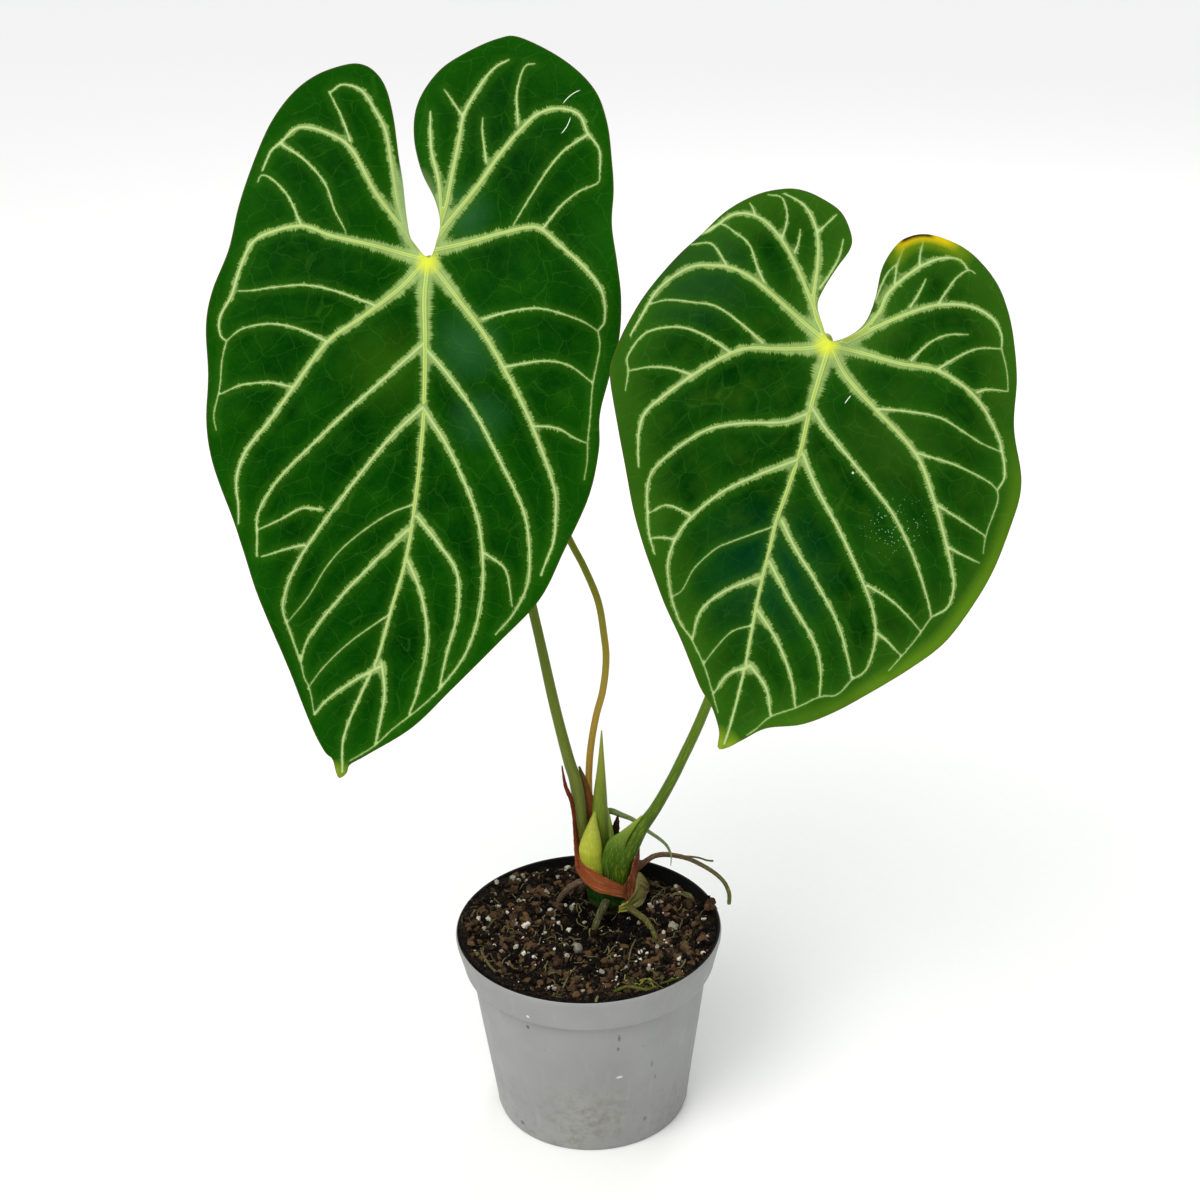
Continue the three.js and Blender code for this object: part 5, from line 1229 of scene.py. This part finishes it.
collar_parts = [
    sheath_part(COLLAR, columns=150, rows=18, flare=0.5, ragged=0.22, seed=3, straps=0, upright_from=29),
    sweep(COLLAR_TIP, 20, 12, flat=0.45, across=(0.6, 0.8, 0), relief=ridges(5, 0.12, 0.3, 0.05, 4)),
]
add_piece("rust_collar", collar_parts, [finishes["dry_collar"], finishes["collar_tip"]], "dry_collar",
          sharp=70, face_materials=part_numbers(collar_parts))
old_part = sheath_part(OLD_SHEATH, columns=110, rows=30, flare=0.3, ragged=0.6, seed=8, straps=0.8,
                       upright_from=180)
add_piece("pale_old_sheath", [old_part], [finishes["old_sheath"]], "old_sheath", sharp=70)

# %% [markdown]
# ## Aerial roots
# Thick roots leave the crown above the mix, arch over and go down into it. Their corky skin has shallow
# rings and small lumps, so each is swept with wrinkles across it.

# %% Roots
# Rows of x, y, z and radius in mm. The end of the front root stays in sight in a small hollow of the mix.
ROOTS = {
    "root_arching": [
        [18, 30, 100.5, 2.2], [22.8, 30, 103.2, 1.9], [26.6, 31, 105.4, 1.35], [31.3, 33, 107.2, 1.25],
        [37, 36, 105.8, 1.2], [44.4, 38, 103, 1.1], [51.5, 40, 98.3, 1.05], [58.6, 40, 93.2, 1],
        [63.6, 38, 88.8, 1], [65.8, 35, 84.4, 1], [65.6, 32, 80.4, 0.9],
    ],
    "root_front": [
        [15, 21, 91, 2.2], [20, 16, 89, 1.7], [25.8, 10, 87.4, 1.45], [28.8, 5.4, 84.6, 1.4],
        [30.6, 1.8, 82.4, 1.35], [31.6, -0.4, 79, 1.2],
    ],
    "root_stub": [
        [9, 20, 93, 2.2], [7, 14.8, 92, 1.9], [4.8, 11, 89.4, 1.7], [2.6, 8.2, 84, 1.6],
        [2, 7.4, 79, 1.4],
    ],
    "root_left": [
        [2, 23, 100, 2], [-3.6, 22.6, 100.5, 1.6], [-9.3, 24, 95.8, 1.5], [-13.4, 26, 89, 1.4],
        [-15.4, 27, 82.5, 1.3], [-16, 27.4, 77, 1.1],
    ],
    "root_surface": [
        [31, 29.4, 80.5, 0.9], [34, 30.6, 84.6, 0.9], [40.4, 33.4, 86.2, 0.9], [45, 32, 86.8, 0.9],
        [48, 28.6, 87, 0.9], [49.2, 25.4, 83.6, 0.8],
    ],
}
ROOTLET = [
    [42, 37.4, 103.4, 0.6], [46, 38.2, 103.2, 0.5], [51.5, 40, 101.3, 0.45], [55.8, 41, 99, 0.45],
    [58.7, 42, 98, 0.5],
]
for node, rows in ROOTS.items():
    parts = [sweep(rows, 18, 12, relief=ridges(3, 0.04, 0.3, 0.035, 2.2))]
    if node == "root_arching":
        parts.append(sweep(ROOTLET, 12, 10, relief=ridges(3, 0.05, 0.3)))
    add_piece(node + "_skin", parts, [finishes[node]], node)

# %% [markdown]
# ## Potting mix
# The mix is damp dark peat with crumbs of bark, white grains of perlite and threads of moss. Its top is a
# fine sheet with swells and crumbs, and loose crumbs lie half sunk in it. All the grains are placed by a
# seeded rule, apart from the larger perlite grains and moss threads, which are set where the photograph
# shows them: the camera's ray through a pixel meets the mix there.

# %% Mix surface
# The pot in mm. Top and foot are its radius there.
POT = {"top": 60, "height": 92, "wall": 1.2, "lip": 1.5, "foot": 44.7, "sides": 180}
# Radius and height of the pot's wall, and of the mix's side below its top, in mm.
POT_OUTSIDE = [(49.9, 45), (51.6, 58), (53.6, 74), (57, 77.2)]
SOIL_SIDE = [(52.2, 74), (50.2, 58), (48.5, 45), (43, 8), (39, 2.2)]
SOIL_LEVEL_MM = 87
MIX_EDGE_MM = 57
# Lumps on the mix: height and size in mm, and their seed.
SOIL_LUMPS = ((1.7, 6, 1), (1.4, 2.6, 2), (0.7, 1.2, 3))
# Where the mix lies low, in degrees round the pot from the right, and where shade is painted on it and where
# the front root goes down, x and y in mm.
LOW_SECTOR_DEGREES = 62
HOLLOW_SHADE_AT = (7, 7)
ROOT_HOLLOW_AT = (30, 1.5)


def soil_height(x, y):
    """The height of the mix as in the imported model, with a hollow before the crown."""
    swell = np.sin(x * 0.11 + 0.8) * np.cos(y * 0.13 - 0.4)
    crumbs = np.sin(x * 0.37 + y * 0.23) * np.sin(y * 0.33 - x * 0.19 + 1.3)
    hollow = 4 * np.exp(-((x - 5) ** 2 + (y - 12) ** 2) / 200)
    return SOIL_LEVEL_MM - 0.04 * x - 0.02 * y + 1.6 * (0.6 * swell + 0.6 * crumbs) - hollow


def inner_radius(z):
    """The radius of the pot's inner wall near its rim."""
    low, high = POT_OUTSIDE[-1][0] - POT["wall"], POT["top"] - POT["lip"]
    return low + (high - low) * (z - POT_OUTSIDE[-1][1]) / (POT["height"] - POT_OUTSIDE[-1][1])


def fine_soil(x, y):
    """The height of the mix with its small lumps. It banks up to the wall, but not at the back right."""
    spots = np.column_stack([x, y, np.zeros_like(x)])
    from_back_right = np.degrees(np.arctan2(y, x)) - LOW_SECTOR_DEGREES
    low_sector = np.exp(-(from_back_right / 34) ** 2)
    bank = 3.4 * (1 - 0.7 * low_sector) * np.exp(-((MIX_EDGE_MM - np.hypot(x, y)) / 10) ** 2)
    relief = sum(rise * lumps(spots, size, seed) for rise, size, seed in SOIL_LUMPS)
    root_hollow = 3 * np.exp(-((x - ROOT_HOLLOW_AT[0]) ** 2 + (y - ROOT_HOLLOW_AT[1]) ** 2) / 50)
    return soil_height(x, y) + bank + relief - root_hollow


def shade(points):
    """Painted shade: how much darker the mix is painted in the hollow before the crown."""
    return np.exp(-((points[:, 0] - HOLLOW_SHADE_AT[0]) ** 2 + (points[:, 1] - HOLLOW_SHADE_AT[1]) ** 2) / 330)

# %% Mix mesh
ring_count, around = 56, 240
JUST_INSIDE = 0.001
angle = 2 * np.pi * np.arange(around) / around
rings = []
for k in range(ring_count, 0, -1):
    reach = inner_radius(SOIL_LEVEL_MM) * k / ring_count
    x, y = reach * np.cos(angle), reach * np.sin(angle)
    z = fine_soil(x, y)
    if k == ring_count:
        grow = inner_radius(z) / reach - JUST_INSIDE
        x, y = x * grow, y * grow
    rings.append(np.column_stack([x, y, z]))
below = [(inner_radius(80) - 0.2, 79.5), *SOIL_SIDE]
lower = [np.column_stack([r * np.cos(angle), r * np.sin(angle), np.full(around, z)])
         for r, z in below[::-1]]
layers = lower + rings
points = np.concatenate(layers + [np.array([[0, 0, below[-1][1]], [0, 0, soil_height(0, 0)]])])
# The tone of the mix is lowered by painted shade in the hollow before the crown.
soil_part = {"points": points, "faces": tube_faces(len(layers), around), "skin": points,
             "tone": 0.25 - 0.5 * shade(points)}
print("highest point of the mix in mm:", round(float(points[:, 2].max()), 1))

# %% Peat, perlite and moss finishes
def grain_finish(name, dark, light, speck, roughness, grain_mm, relief_mm):
    """A grainy skin from two colours and specks. Each piece's tone, with painted shade in the mix, makes it
    lighter or darker.
    """
    material, tree, shader = new_material(name, {
        "Roughness": roughness, "IOR": 1.4, "Specular IOR Level": 0.15})
    skin = add_node(tree, "ShaderNodeAttribute", attribute_name="skin").outputs["Vector"]
    tone = add_node(tree, "ShaderNodeAttribute", attribute_name="tone").outputs["Fac"]
    coarse = add_node(tree, "ShaderNodeTexNoise", {
        "Vector": skin, "Scale": 1 / (4 * grain_mm), "Detail": 4, "Roughness": 0.7}).outputs["Fac"]
    fine = add_node(tree, "ShaderNodeTexNoise", {
        "Vector": skin, "Scale": 1 / grain_mm, "Detail": 2, "Roughness": 0.7}).outputs["Fac"]
    mixed = add_node(tree, "ShaderNodeMath", {
        0: coarse, 1: 0.9, 2: tone}, operation="MULTIPLY_ADD").outputs[0]
    tone_mask = add_node(tree, "ShaderNodeMapRange", {
        "Value": mixed, "From Min": 0.7, "From Max": 1.34}).outputs[0]
    speck_mask = add_node(tree, "ShaderNodeMapRange", {
        "Value": fine, "From Min": 0.66, "From Max": 0.74, "To Max": 0.7}).outputs[0]
    colour = lay_over(tree, linear(dark), [(tone_mask, light), (speck_mask, speck)])
    height = add_node(tree, "ShaderNodeMath", {
        0: coarse, 1: 2, 2: fine}, operation="MULTIPLY_ADD").outputs[0]
    finish_surface(tree, shader, colour, height, relief_mm)
    print(f"{name}: grain {grain_mm} mm")
    return material


# Name, dark, light and specks, then roughness, grain and relief in mm.
peat = grain_finish("damp_peat", "#060402", "#5c4630", "#88704c", 0.9, 0.5, 0.5)
bark = grain_finish("bark_crumb", "#140c07", "#644a2e", "#846648", 0.85, 0.4, 0.3)
perlite = grain_finish("expanded_perlite", "#8a8474", "#d8d2c4", "#f4f0e6", 0.75, 0.35, 0.25)
moss = grain_finish("dry_moss_thread", "#2a2216", "#6c6640", "#8c8658", 0.8, 0.4, 0.15)
green_moss = grain_finish("living_moss_thread", "#3c4214", "#8a8c38", "#b4b068", 0.75, 0.4, 0.15)
add_piece("peat_top", [soil_part], [peat], "potting_mix", sharp=80)

# %% Crumbs and grains
def pebble(level):
    """The points and faces of a round pebble."""
    ball = bmesh.new()
    bmesh.ops.create_icosphere(ball, subdivisions=level, radius=1)
    ball.verts.index_update()
    shape = np.array([v.co[:] for v in ball.verts]), [tuple(v.index for v in f.verts) for f in ball.faces]
    ball.free()
    return shape


def grains(places, sizes, level, rough, longest, dice, damp=0.9):
    """Angular grains, each of its own form, turned its own way."""
    base, faces = pebble(level)
    parts = []
    for place, size in zip(places, sizes):
        lump = base * (1 + rough * dice.uniform(-1, 1, (len(base), 1)))
        lump = lump * dice.uniform(0.6, 1, 3) * (longest, 1, 1)
        turns = Euler(dice.uniform(-0.5, 0.5, 2).tolist() + [dice.uniform(0, 6.3)])
        lump = lump @ np.array(turns.to_matrix()).T
        # A grain in the hollow before the crown is darkened by painted shade, as much as `damp` says.
        tone = dice.uniform(0, 1) - damp * shade(place[None])[0]
        parts.append({"points": place + size * lump, "faces": faces, "skin": place + size * lump,
                      "tone": np.full(len(base), tone)})
    return parts


def scattered(count, reach, lift, sizes, dice):
    """Places spread evenly over the mix."""
    turn = dice.uniform(0, 2 * np.pi, count)
    away = reach * np.sqrt(dice.uniform(0, 1, count))
    x, y = away * np.cos(turn), away * np.sin(turn)
    return np.column_stack([x, y, fine_soil(x, y) + lift * sizes])


def on_soil(x, y):
    """The place on the mix under a pixel of the photograph, in mm."""
    ray = ray_through(x, y)
    level = SOIL_LEVEL_MM
    for _ in range(4):
        place = CAMERA_MM + ray * ((level - CAMERA_MM.z) / ray.z)
        level = float(fine_soil(np.array([place.x]), np.array([place.y]))[0])
    return np.array(place)

# %% Loose grains of the mix
dice = np.random.default_rng(5)
# How many, how far out, least and greatest size in mm, how rare large ones are, roughness, length, finish.
LOOSE = {
    "peat_crumbs": (1700, 56, 0.45, 1.7, 3, 0.32, 1.3, peat),
    "peat_clods": (230, 53, 1.1, 2.6, 1.5, 0.4, 1.3, peat),
    "bark_chips": (150, 54, 0.6, 1.9, 1, 0.25, 2.0, bark),
}
for name, (count, reach, smallest, largest, rarity, rough, longest, finish) in LOOSE.items():
    sizes = smallest + (largest - smallest) * dice.uniform(0, 1, count) ** rarity
    places = scattered(count, reach, 0.1, sizes, dice)
    add_piece(name, grains(places, sizes, 2, rough, longest, dice), [finish], slot="potting_mix", sharp=45)
# A few clods lie on the rim at the back right: place and size in mm.
RIM_CLODS = [(56.2, 16.5, 91.6, 2.4), (55, 20.5, 91.2, 2.0), (57, 12.6, 91.5, 1.6), (54.8, 14, 91, 2.2)]
rim_places = np.array([clod[:3] for clod in RIM_CLODS])
rim_sizes = [clod[3] for clod in RIM_CLODS]
add_piece("rim_clods", grains(rim_places, rim_sizes, 3, 0.3, 1.2, dice), [peat], slot="potting_mix",
          sharp=45)
# Perlite: a pixel of the photograph and the grain's half size in mm. A grain is made FULLER, since its
# corners are cut back, and lies a share of its size above the mix.
PERLITE_AT = [
    (576, 952, 2.4), (673, 928, 1.9), (489, 921, 1.2), (524, 928, 1.3), (528, 925, 0.9), (550, 911, 1.1),
    (553, 920, 0.9), (513, 879, 1.1), (523, 877, 1.0), (518, 881, 0.8), (497, 883, 0.9), (537, 875, 0.9),
    (558, 878, 0.9), (572, 908, 0.9), (567, 957, 1.0), (516, 948, 1.0), (640, 953, 1.0), (636, 958, 0.8),
    (637, 963, 0.8), (626, 969, 0.9), (662, 945, 0.9), (665, 942, 0.7), (703, 954, 0.9), (657, 977, 0.8),
    (602, 973, 0.9),
]
FULLER, LIFT = 1.35, 0.45
DUST_COUNT, SPREAD_MM = 240, 55
perlite_places = [on_soil(x, y) for x, y, _size in PERLITE_AT]
perlite_sizes = [FULLER * size for _x, _y, size in PERLITE_AT]
dust_sizes = 0.3 + 1.0 * dice.uniform(0, 1, DUST_COUNT) ** 2
all_places = np.vstack([perlite_places, scattered(DUST_COUNT, SPREAD_MM, 0.5, dust_sizes, dice)])
all_sizes = np.concatenate([perlite_sizes, dust_sizes])
all_places[:len(perlite_sizes), 2] += LIFT * np.array(perlite_sizes)
add_piece("perlite_grains", grains(all_places, all_sizes, 2, 0.3, 1.2, dice, damp=0.3), [perlite],
          slot="potting_mix", sharp=25)

# %% Moss threads
# Each thread is a few pixels of the photograph that it passes, and its radius in mm.
THREADS = [
    ([(480, 945), (484, 959), (493, 971), (503, 977)], 0.6), ([(488, 928), (494, 922), (500, 918)], 0.6),
    ([(468, 909), (475, 908), (484, 909)], 0.35), ([(596, 1001), (600, 993), (603, 986)], 0.6),
    ([(628, 965), (631, 951), (636, 939)], 0.4), ([(669, 898), (678, 895), (690, 898)], 0.6),
    ([(678, 971), (684, 965), (686, 958)], 0.4), ([(569, 933), (577, 937), (584, 939)], 0.3),
    ([(584, 956), (592, 958), (599, 957)], 0.3), ([(549, 939), (550, 951), (556, 956)], 0.35),
    ([(561, 992), (569, 977), (575, 968)], 0.4), ([(690, 915), (698, 921), (703, 930)], 0.35),
    ([(463, 915), (462, 922), (464, 928)], 0.35), ([(516, 960), (524, 950), (527, 941)], 0.35),
]
GREEN_THREADS = [
    ([(613, 992), (628, 989), (646, 992), (658, 987)], 0.8), ([(640, 981), (649, 981), (658, 986)], 0.55),
    ([(660, 984), (672, 982), (684, 977)], 0.5), ([(618, 984), (627, 980), (636, 983)], 0.4),
]
CLUMP = [(622, 985), (640, 986), (656, 988), (668, 982)]
CLUMP_THREADS = 7
LOOSE_THREADS = 330

# %% Curled threads
def thread(start, way, length, radius, lift):
    """A curled thread that lies over the mix, with its ends in it."""
    steps, sunk = 5, 0.15
    turn = math.atan2(way[1], way[0])
    place = np.array(start, float)
    rows = []
    for k in range(steps + 1):
        height = fine_soil(place[:1], place[1:2])[0]
        rows.append([*place[:2], height + lift * math.sin(math.pi * k / steps) - sunk, radius])
        turn += dice.uniform(-0.8, 0.8)
        place[:2] += length / steps * np.array([math.cos(turn), math.sin(turn)])
    return rows


green_parts, dry_parts = [], []
for lines, kept in ((THREADS, dry_parts), (GREEN_THREADS, green_parts)):
    for pixels, radius in lines:
        rows = [[*on_soil(x, y), radius] for x, y in pixels]
        for row in rows[1:-1]:
            row[2] += radius + 0.4
        kept.append(sweep(rows, 8, 8))
for x, y in CLUMP:
    start = on_soil(x, y)
    for _ in range(CLUMP_THREADS):
        near = start[:2] + dice.uniform(-3.5, 3.5, 2) * (1, 0.6)
        rows = thread(near, (1, dice.uniform(-0.5, 0.5)), dice.uniform(4, 8), dice.uniform(0.15, 0.3), 0.9)
        if max(math.hypot(row[0], row[1]) for row in rows) < MIX_EDGE_MM:
            green_parts.append(sweep(rows, 6, 4))
for _ in range(LOOSE_THREADS):
    turn, away = dice.uniform(0, 6.28), SPREAD_MM * math.sqrt(dice.uniform(0, 1))
    start = (away * math.cos(turn), away * math.sin(turn))
    length, radius = dice.uniform(3, 11), 0.12 + 0.3 * dice.uniform(0, 1) ** 2
    rows = thread(start, dice.uniform(-1, 1, 2), length, radius, dice.uniform(0.3, 1.3))
    if max(math.hypot(row[0], row[1]) for row in rows) < MIX_EDGE_MM:
        dry_parts.append(sweep(rows, 5, 4))
for part in green_parts + dry_parts:
    part["tone"] = np.full(len(part["points"]), dice.uniform(0, 1))
add_piece("moss_threads", dry_parts, [moss], slot="potting_mix", sharp=180)
add_piece("green_moss", green_parts, [green_moss], slot="potting_mix", sharp=180)

# %% [markdown]
# ## Pot
# The pot is a thin nursery pot, moulded from grey polypropylene, with a deep band at its rim and drain holes
# in its floor. The outside is matt, with the fine grain of the mould, rubbed patches and dirt that has run
# down to its foot. The inside is near-black. A turned profile gives its form.

# %% Pot finish
pot_grain_mm = 0.35
outside, tree, shader = new_material("moulded_polypropylene_grey", {"Roughness": 0.55, "IOR": 1.49})
skin = add_node(tree, "ShaderNodeAttribute", attribute_name="skin").outputs["Vector"]
grain = add_node(tree, "ShaderNodeTexNoise", {
    "Vector": skin, "Scale": 1 / pot_grain_mm, "Detail": 2}).outputs["Fac"]
clouds = add_node(tree, "ShaderNodeTexNoise", {
    "Vector": skin, "Scale": 1 / 30, "Detail": 4}).outputs["Fac"]
run_down = add_node(tree, "ShaderNodeVectorMath", {
    0: skin, 1: (1, 1, 0.12)}, operation="MULTIPLY").outputs[0]
runs = add_node(tree, "ShaderNodeTexNoise", {
    "Vector": run_down, "Scale": 1 / 4, "Detail": 4}).outputs["Fac"]
rubs = add_node(tree, "ShaderNodeTexNoise", {
    "Vector": skin, "Scale": 1 / 5, "Detail": 5, "Roughness": 0.75}).outputs["Fac"]
height_mm = add_node(tree, "ShaderNodeSeparateXYZ", {0: skin}).outputs["Z"]
low = add_node(tree, "ShaderNodeMapRange", {"Value": height_mm, "From Min": 38, "From Max": 4}).outputs[0]
dirt = add_node(tree, "ShaderNodeMapRange", {
    "Value": rubs, "From Min": 0.5, "From Max": 0.72, "To Max": 0.55}).outputs[0]
foot_dirt = add_node(tree, "ShaderNodeMath", {0: low, 1: dirt}, operation="MULTIPLY").outputs[0]
smudge = add_node(tree, "ShaderNodeMapRange", {
    "Value": rubs, "From Min": 0.42, "From Max": 0.66}).outputs[0]
rub_mask = add_node(tree, "ShaderNodeMapRange", {
    "Value": rubs, "From Min": 0.66, "From Max": 0.72, "To Max": 0.4}).outputs[0]
cloud_mask = add_node(tree, "ShaderNodeMapRange", {
    "Value": clouds, "From Min": 0.35, "From Max": 0.7, "To Max": 0.8}).outputs[0]
pale_runs = add_node(tree, "ShaderNodeMapRange", {
    "Value": runs, "From Min": 0.42, "From Max": 0.3, "To Max": 0.35}).outputs[0]


def on_pot(x, y):
    """The place on the pot's outside under a pixel of the photograph, in mm."""
    ray = ray_through(x, y)
    radii, heights = zip((POT["foot"], 0), *POT_OUTSIDE, (POT["top"], POT["height"]))
    nearest_mm, farthest_mm, step_mm = 700, 1150, 0.5
    for away in np.arange(nearest_mm, farthest_mm, step_mm):
        place = CAMERA_MM + ray * float(away)
        wall_radius = np.interp(place.z, heights, radii)
        if place.z < POT["height"] and math.hypot(place.x, place.y) < wall_radius:
            return place
    return place


# %% Stain and marks on the pot
# A stain of peat water low on the front, at a pixel of the photograph.
STAIN_AT = (590, 1118)
stain_gap = add_node(tree, "ShaderNodeVectorMath", {
    0: skin, 1: tuple(on_pot(*STAIN_AT))}, operation="DISTANCE")
stain_field = add_node(tree, "ShaderNodeMapRange", {
    "Value": stain_gap.outputs["Value"], "From Min": 26, "From Max": 4, "To Max": 0.6}).outputs[0]
stain_mask = add_node(tree, "ShaderNodeMath", {0: stain_field, 1: smudge}, operation="MULTIPLY").outputs[0]

# Marks: a pixel of the photograph, half the mark's width in mm, how many times as tall it is, its colour and
# its strength.
POT_MARKS = [
    ((528, 1027), 1.1, 1.4, "#3f3c38", 0.8), ((619, 1038), 1.0, 2.6, "#3f3d3a", 0.8),
    ((618, 1049), 0.8, 2.0, "#4a4844", 0.75), ((652, 1063), 0.7, 4.0, "#55524e", 0.7),
    ((655, 1076), 0.6, 3.0, "#5a5753", 0.6), ((643, 1046), 0.8, 1.0, "#6a6864", 0.5),
    ((619, 1077), 1.9, 0.4, "#e4e4e2", 0.6), ((528, 1016), 0.9, 1.2, "#f0f0ee", 0.6),
    ((600, 1122), 0.9, 1.2, "#55523f", 0.6), ((645, 1119), 1.1, 1.6, "#4a463c", 0.7),
    ((522, 1123), 1.8, 0.8, "#3f3b36", 0.8), ((545, 1050), 0.8, 1.0, "#7f7e7a", 0.6),
    ((698, 981), 0.7, 1.2, "#6a6864", 0.5),
]
layers = [(cloud_mask, "#828381"), (pale_runs, "#989996"), (rub_mask, "#73726d"), (foot_dirt, "#6a6654"),
          (stain_mask, "#6f6a52")]
for (x, y), size, tall, colour, amount in POT_MARKS:
    narrow = (1, 1, 1 / tall)
    centre = tuple(a * b for a, b in zip(on_pot(x, y), narrow))
    drawn = add_node(tree, "ShaderNodeVectorMath", {0: skin, 1: narrow}, operation="MULTIPLY").outputs[0]
    gap = add_node(tree, "ShaderNodeVectorMath", {0: drawn, 1: centre}, operation="DISTANCE")
    wobble = add_node(tree, "ShaderNodeMath", {0: rubs, 1: 2.2 * size, 2: gap.outputs["Value"]},
                      operation="MULTIPLY_ADD")
    mark = add_node(tree, "ShaderNodeMapRange", {
        "Value": wobble.outputs[0], "From Min": 2.1 * size, "From Max": 1.5 * size, "To Max": amount})
    layers.append((mark.outputs[0], colour))
finish_surface(tree, shader, lay_over(tree, linear("#8f908e"), layers), grain, depth_mm=0.06, strength=0.5)
gloss = add_node(tree, "ShaderNodeMapRange", {"Value": rubs, "To Min": 0.42, "To Max": 0.68}).outputs[0]
tree.links.new(gloss, shader.inputs["Roughness"])
print("layers of colour on the pot:", len(layers))
# A near-black finish for the inside of the pot.
dark_inside = grain_finish("peat_stained_plastic", "#0d0c0a", "#25221e", "#3c372f", 0.6, 0.8, 0.1)

# %% Pot mesh
foot, wall, top, height = POT["foot"], POT["wall"], POT["top"], POT["height"]
floor_top = wall + 0.4
INSIDE_TONE = 0.2
band_r, band_z = POT_OUTSIDE[-1]
outer = [(foot - 4.5, 0), (foot - 1.2, 0), (foot - 0.9, 1.0), (foot - 0.3, 2.6), (foot, 6), *POT_OUTSIDE[:3],
         (band_r - 1.8, band_z - 2.4), (band_r - 0.5, band_z - 1.6), (band_r - 0.1, band_z - 0.7),
         (band_r, band_z), (top - 0.15, height - 3), (top, height - 1.4), (top - 0.12, height - 0.5),
         (top - 0.5, height - 0.05), (top - 0.75, height)]
inner = [(top - POT["lip"], height - 0.35), (band_r - wall, band_z)]
inner += [(r - wall, z) for r, z in POT_OUTSIDE[2::-1]] + [(foot - wall, 6.6), (foot - 5, floor_top)]
profile = outer + inner
sides = POT["sides"]
turn = 2 * np.pi * np.arange(sides) / sides
pot_points = np.concatenate([np.column_stack([r * np.cos(turn), r * np.sin(turn), np.full(sides, z)])
                             for r, z in profile] + [np.array([[0, 0, 0], [0, 0, floor_top]])])
# The first material is the outside, up to the top of the rim. The second is the near-black inside.
pot_materials = [0 if k < len(outer) - 2 else 1 for k in range(len(profile) - 1) for _j in range(sides)]
pot_materials += [0] * sides + [1] * sides
pot_part = {"points": pot_points, "faces": tube_faces(len(profile), sides), "skin": pot_points,
            "tone": np.full(len(pot_points), INSIDE_TONE)}
pot_shell = add_piece("nursery_pot", [pot_part], [outside, dark_inside], "pot", sharp=40,
                      face_materials=pot_materials)

# %% Drain holes
DRAIN = {"count": 8, "ring": 31, "radius": 4, "depth": 6}
cutter = bmesh.new()
for k in range(DRAIN["count"]):
    at = 2 * math.pi * (k + 0.5) / DRAIN["count"]
    place = Matrix.Translation((DRAIN["ring"] * MM * math.cos(at), DRAIN["ring"] * MM * math.sin(at), 0))
    bmesh.ops.create_cone(cutter, cap_ends=True, segments=32, radius1=DRAIN["radius"] * MM,
                          radius2=DRAIN["radius"] * MM, depth=DRAIN["depth"] * MM, matrix=place)
cutter_mesh = bpy.data.meshes.new("drain_cutter")
cutter.to_mesh(cutter_mesh)
cutter.free()
cutter_object = bpy.data.objects.new("drain_cutter", cutter_mesh)
bpy.context.scene.collection.objects.link(cutter_object)
drill = pot_shell.modifiers.new("drill", "BOOLEAN")
drill.object = cutter_object
drill.solver = "EXACT"
bpy.context.view_layer.update()
drilled = bpy.data.meshes.new_from_object(pot_shell.evaluated_get(bpy.context.evaluated_depsgraph_get()))
pot_shell.modifiers.clear()
pot_shell.data = drilled
bpy.data.objects.remove(cutter_object)
print("pot faces with drain holes:", len(drilled.polygons))
